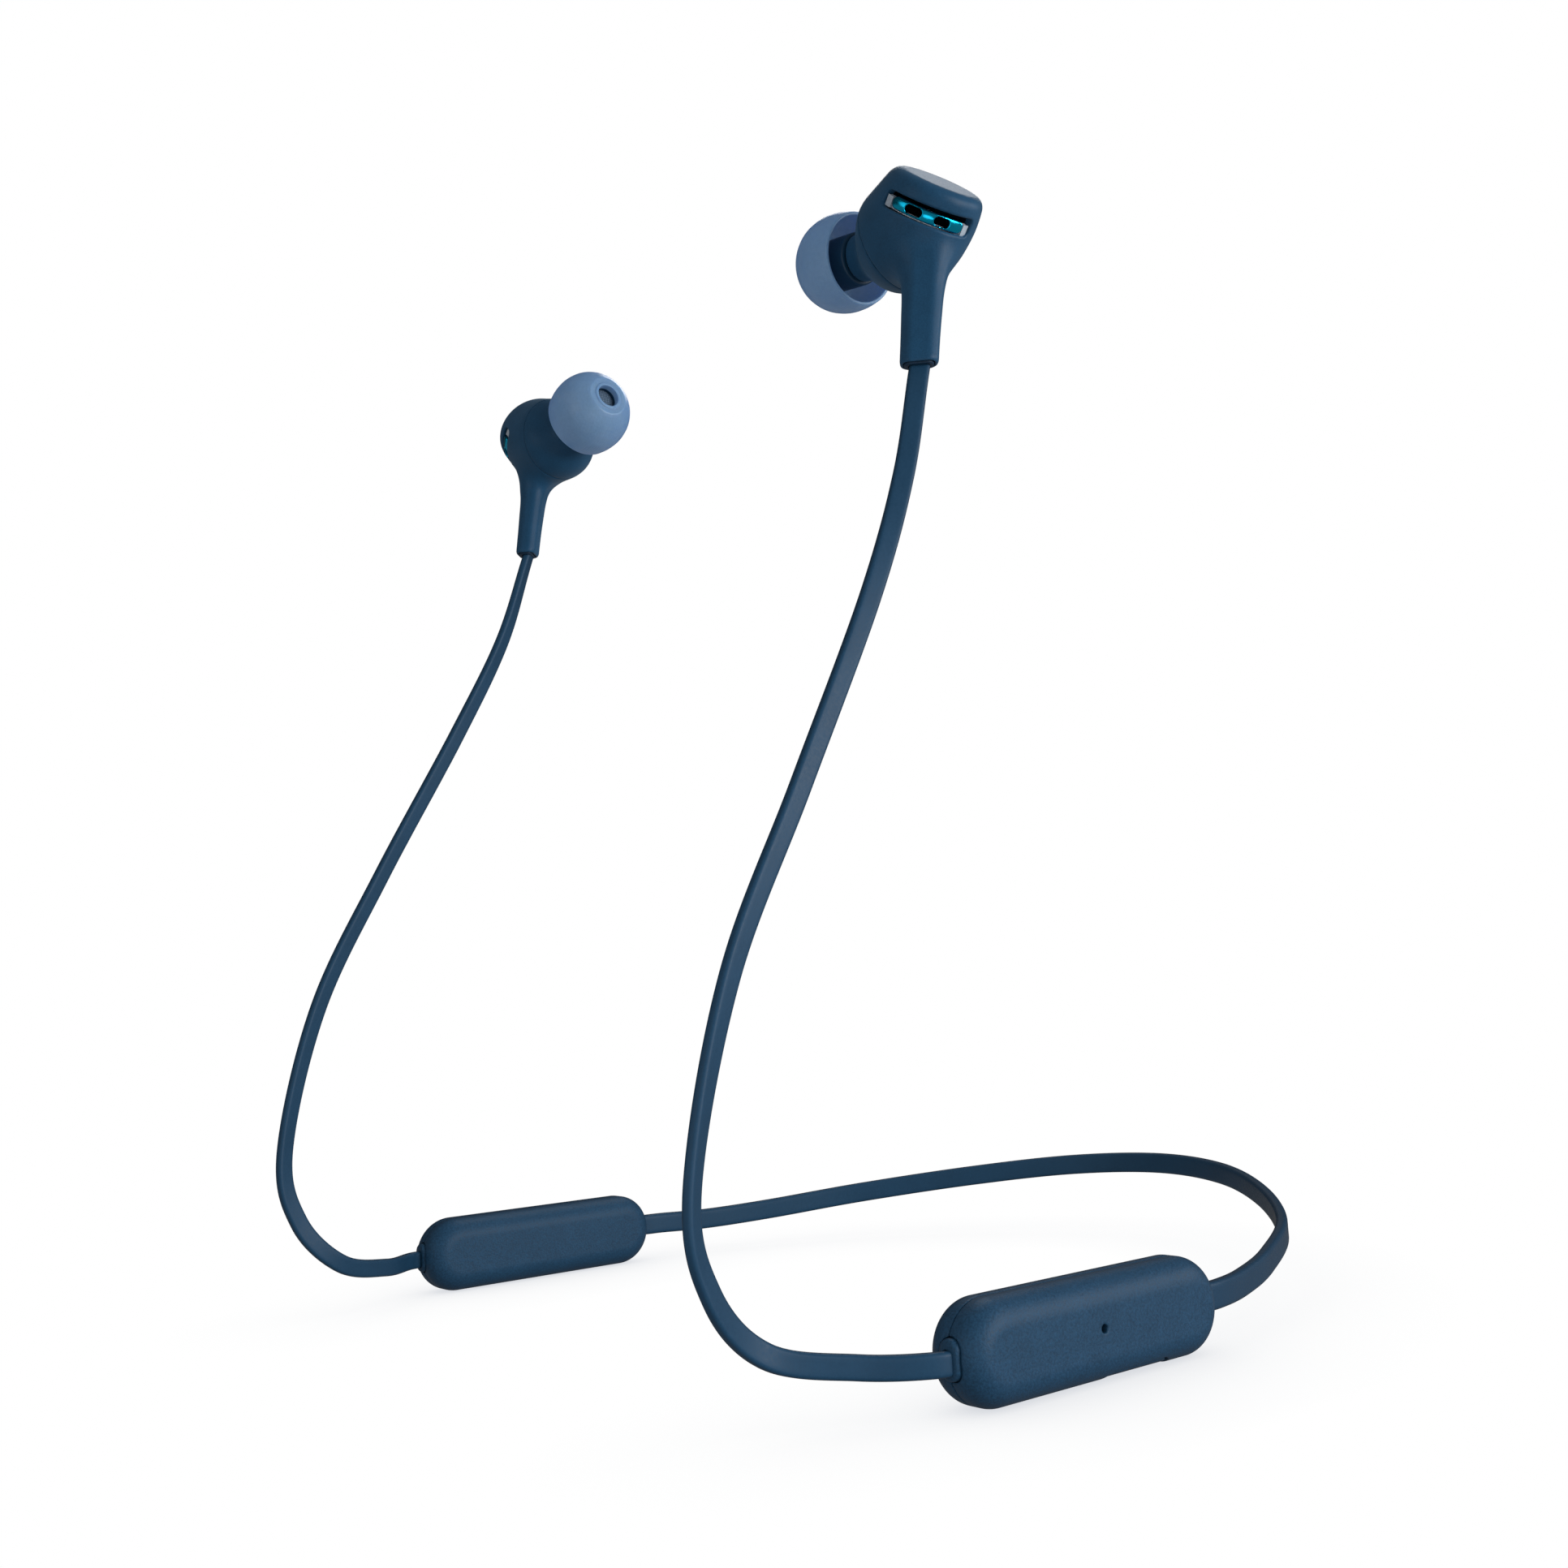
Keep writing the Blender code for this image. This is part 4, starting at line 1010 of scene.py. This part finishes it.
def build_unit(side, label):
    """A pendant unit's half shells and boots, and the left one's controls."""
    left = side > 0
    body = label + "_unit"
    around = 0.6                       # room left between a shell and the edge of its grid
    ends, tall = UNIT_LENGTH / 2 + around, UNIT_HEIGHT / 2 + around
    for word, outer in (("outer", True), ("inner", False)):
        near_side, far_side = -0.4, UNIT_THICK / 2 + around
        if not outer:
            near_side, far_side = -far_side, -near_side
        node = f"{label}_unit_{word}_half"
        unit_piece(node + "_shell", half_field(outer, left), side, (near_side, -ends, -tall),
                   (far_side, ends, tall), UNIT_STEP, body, node)
    for word, (end, *shape) in BOOTS.items():
        points, faces = boot_mesh(side, end, *shape)
        piece = new_piece(f"{label}_{word}_sleeve", points, faces, LOOKS["navy"])
        fit(piece, body, SLOTS["dark"], f"{label}_{word}_boot")
    if left:
        build_controls()


def build_controls():
    """The keys and the charging port's cover."""
    for name, (y, long, tall) in KEYS.items():
        low = (-UNIT_THICK / 2 - 0.9, y - long / 2 - 0.8, -tall / 2 - 0.8)
        high = (-UNIT_THICK / 2 + 2.0, y + long / 2 + 0.8, tall / 2 + 0.8)
        unit_piece(name + "_key", key_field(name), 1, low, high, KEY_STEP, name + "_button",
                   name + "_button")
    low = (PORT_X - 2.4, PORT_Y - 5.2, -UNIT_HEIGHT / 2 - 0.4)
    high = (PORT_X + 2.4, PORT_Y + 5.2, -UNIT_HEIGHT / 2 + 2.5)
    unit_piece("usb_cover_flap", cover_field, 1, low, high, SMALL_STEP, "usb_cover", "usb_cover")


def bud_shapes():
    """Every earbud mesh once, for the left side, measured from the foot of the stem: its name,
    points and faces, finish and CAD node."""
    tip = BODY + NOZZLE_WAY * TIP_AT
    return (
        ("rear_housing_shell", skin(rear_field, (-6.4, -4.6, -0.6), (7.4, 10.6, 25.4), BUD_STEP),
         "bud", "rear_housing"),
        ("front_housing_shell", skin(front_field, (-19.2, -4.6, 9.6), (-2.0, 10.6, 24.8), BUD_STEP),
         "bud", "front_housing"),
        ("grille_bar", skin(bar_field, (-1.2, -4.2, 13.6), (6.2, 5.2, 20.2), BAR_STEP),
         "teal", "duct_trim"),
        ("eartip_skin", turned(rounded_profile(TIP_DOME, 5), tip, NOZZLE_WAY),
         "tip", "eartip_dome"),
        ("eartip_core", turned(rounded_profile(TIP_CORE, 4), tip, NOZZLE_WAY),
         "core", "eartip_sleeve"),
        ("nozzle_cloth", turned(CLOTH, BODY, NOZZLE_WAY, 48, False), "mesh", "nozzle_mesh"),
        ("strain_sleeve", skin(relief_field, (-3, -3, -0.3), (3, 3, 3.2), SMALL_STEP),
         "dark", "strain_relief"))


def build_bud(side, label, shapes):
    """An earbud and its eartip, from the left one's meshes."""
    for word, (points, faces), look, node in shapes:
        placed = points + FOOT
        if side < 0:
            placed, faces = flipped(placed, faces)
        piece = new_piece(f"{label}_{word}", placed, faces, LOOKS[look])
        body = label + ("_eartip" if word.startswith("eartip") else "_earbud")
        fit(piece, body, SLOTS[look], f"{label}_{node}")


# ---------------------------------------------------------------- studio
def lay_floor():
    """White glowing floor with a painted contact shadow close under the object, worked out by ambient occlusion."""
    mesh, count = bpy.data.meshes.new("floor"), 64
    ring = [(FLOOR_SIZE * cos(2 * pi * k / count), FLOOR_SIZE * sin(2 * pi * k / count),
             -FLOOR_DROP) for k in range(count)]
    mesh.from_pydata(ring, [], [tuple(range(count))])
    paper = bpy.data.materials.new("floor_look")
    paper.use_nodes = True
    tree = paper.node_tree
    tree.nodes.clear()
    # painted shadow: ambient occlusion turns the floor's glow to grey blue where the object is close above
    painted_shadow_ao = wire(tree, "ShaderNodeAmbientOcclusion", {"Distance": SHADE_REACH}, samples=8)
    tint = blend_colour(tree, painted_shadow_ao.outputs["AO"], (0.68, 0.7, 0.74), (1.0, 1.0, 1.0))
    seen = wire(tree, "ShaderNodeLightPath").outputs["Is Camera Ray"]
    power = wire(tree, "ShaderNodeMapRange", {"Value": seen, "To Min": FLOOR_LIGHT, "To Max": 1.0})
    glow = wire(tree, "ShaderNodeEmission", {"Color": tint, "Strength": power.outputs[0]})
    wire(tree, "ShaderNodeOutputMaterial", {"Surface": glow.outputs[0]})
    mesh.materials.append(paper)
    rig.stage(put("floor", mesh))


def light_room():
    """White backdrop that lights the object less than it shows, and the lamps."""
    world = bpy.data.worlds.new("studio")
    bpy.context.scene.world = world
    world.use_nodes = True
    tree = world.node_tree
    path = wire(tree, "ShaderNodeLightPath").outputs
    dim = wire(tree, "ShaderNodeMapRange", {"Value": path["Is Glossy Ray"], "To Min": ROOM_LIGHT,
                                            "To Max": ROOM_SHINE})
    power = wire(tree, "ShaderNodeMapRange", {"Value": path["Is Camera Ray"],
                                              "To Min": dim.outputs[0], "To Max": 1.0})
    backdrop = tree.nodes["Background"]
    backdrop.inputs[0].default_value = (1, 1, 1, 1)
    tree.links.new(power.outputs[0], backdrop.inputs[1])
    for name, place, target, size, power in LAMPS:
        data = bpy.data.lights.new(name, "AREA")
        data.shape, data.size, data.energy = "DISK", size, power
        lamp = put(name, data)
        lamp.location = place
        lamp.visible_camera = False
        way = Vector(target) - Vector(place)
        lamp.rotation_mode = "QUATERNION"
        lamp.rotation_quaternion = way.to_track_quat("-Z", "Y")


def set_camera():
    """Camera where the photograph was taken from."""
    data = bpy.data.cameras.new("camera")
    data.sensor_width, data.lens, data.clip_start = CAMERA_SENSOR, CAMERA_LENS, CAMERA_CLIP
    turn = (Matrix.Rotation(radians(CAMERA_AZIMUTH + 90), 4, "Z")
            @ Matrix.Rotation(radians(90 - CAMERA_ELEVATION), 4, "X")
            @ Matrix.Rotation(radians(CAMERA_ROLL), 4, "Z"))
    obj = put("camera", data)
    obj.matrix_world = Matrix.Translation(CAMERA_PLACE) @ turn
    bpy.context.scene.camera = obj


dress_cad()
buds = bud_shapes()
for side, label in ((1, "left"), (-1, "right")):
    build_cables(side, label)
    build_neck(side, label)
    build_unit(side, label)
    build_bud(side, label, buds)
lay_floor()
light_room()
set_camera()
bpy.context.scene.view_settings.view_transform = "Standard"

with open("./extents.json", "w") as out:
    json.dump({"cad": [list(c) for c in CAD_BOX], "visual": [list(c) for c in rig.bounds()]}, out)
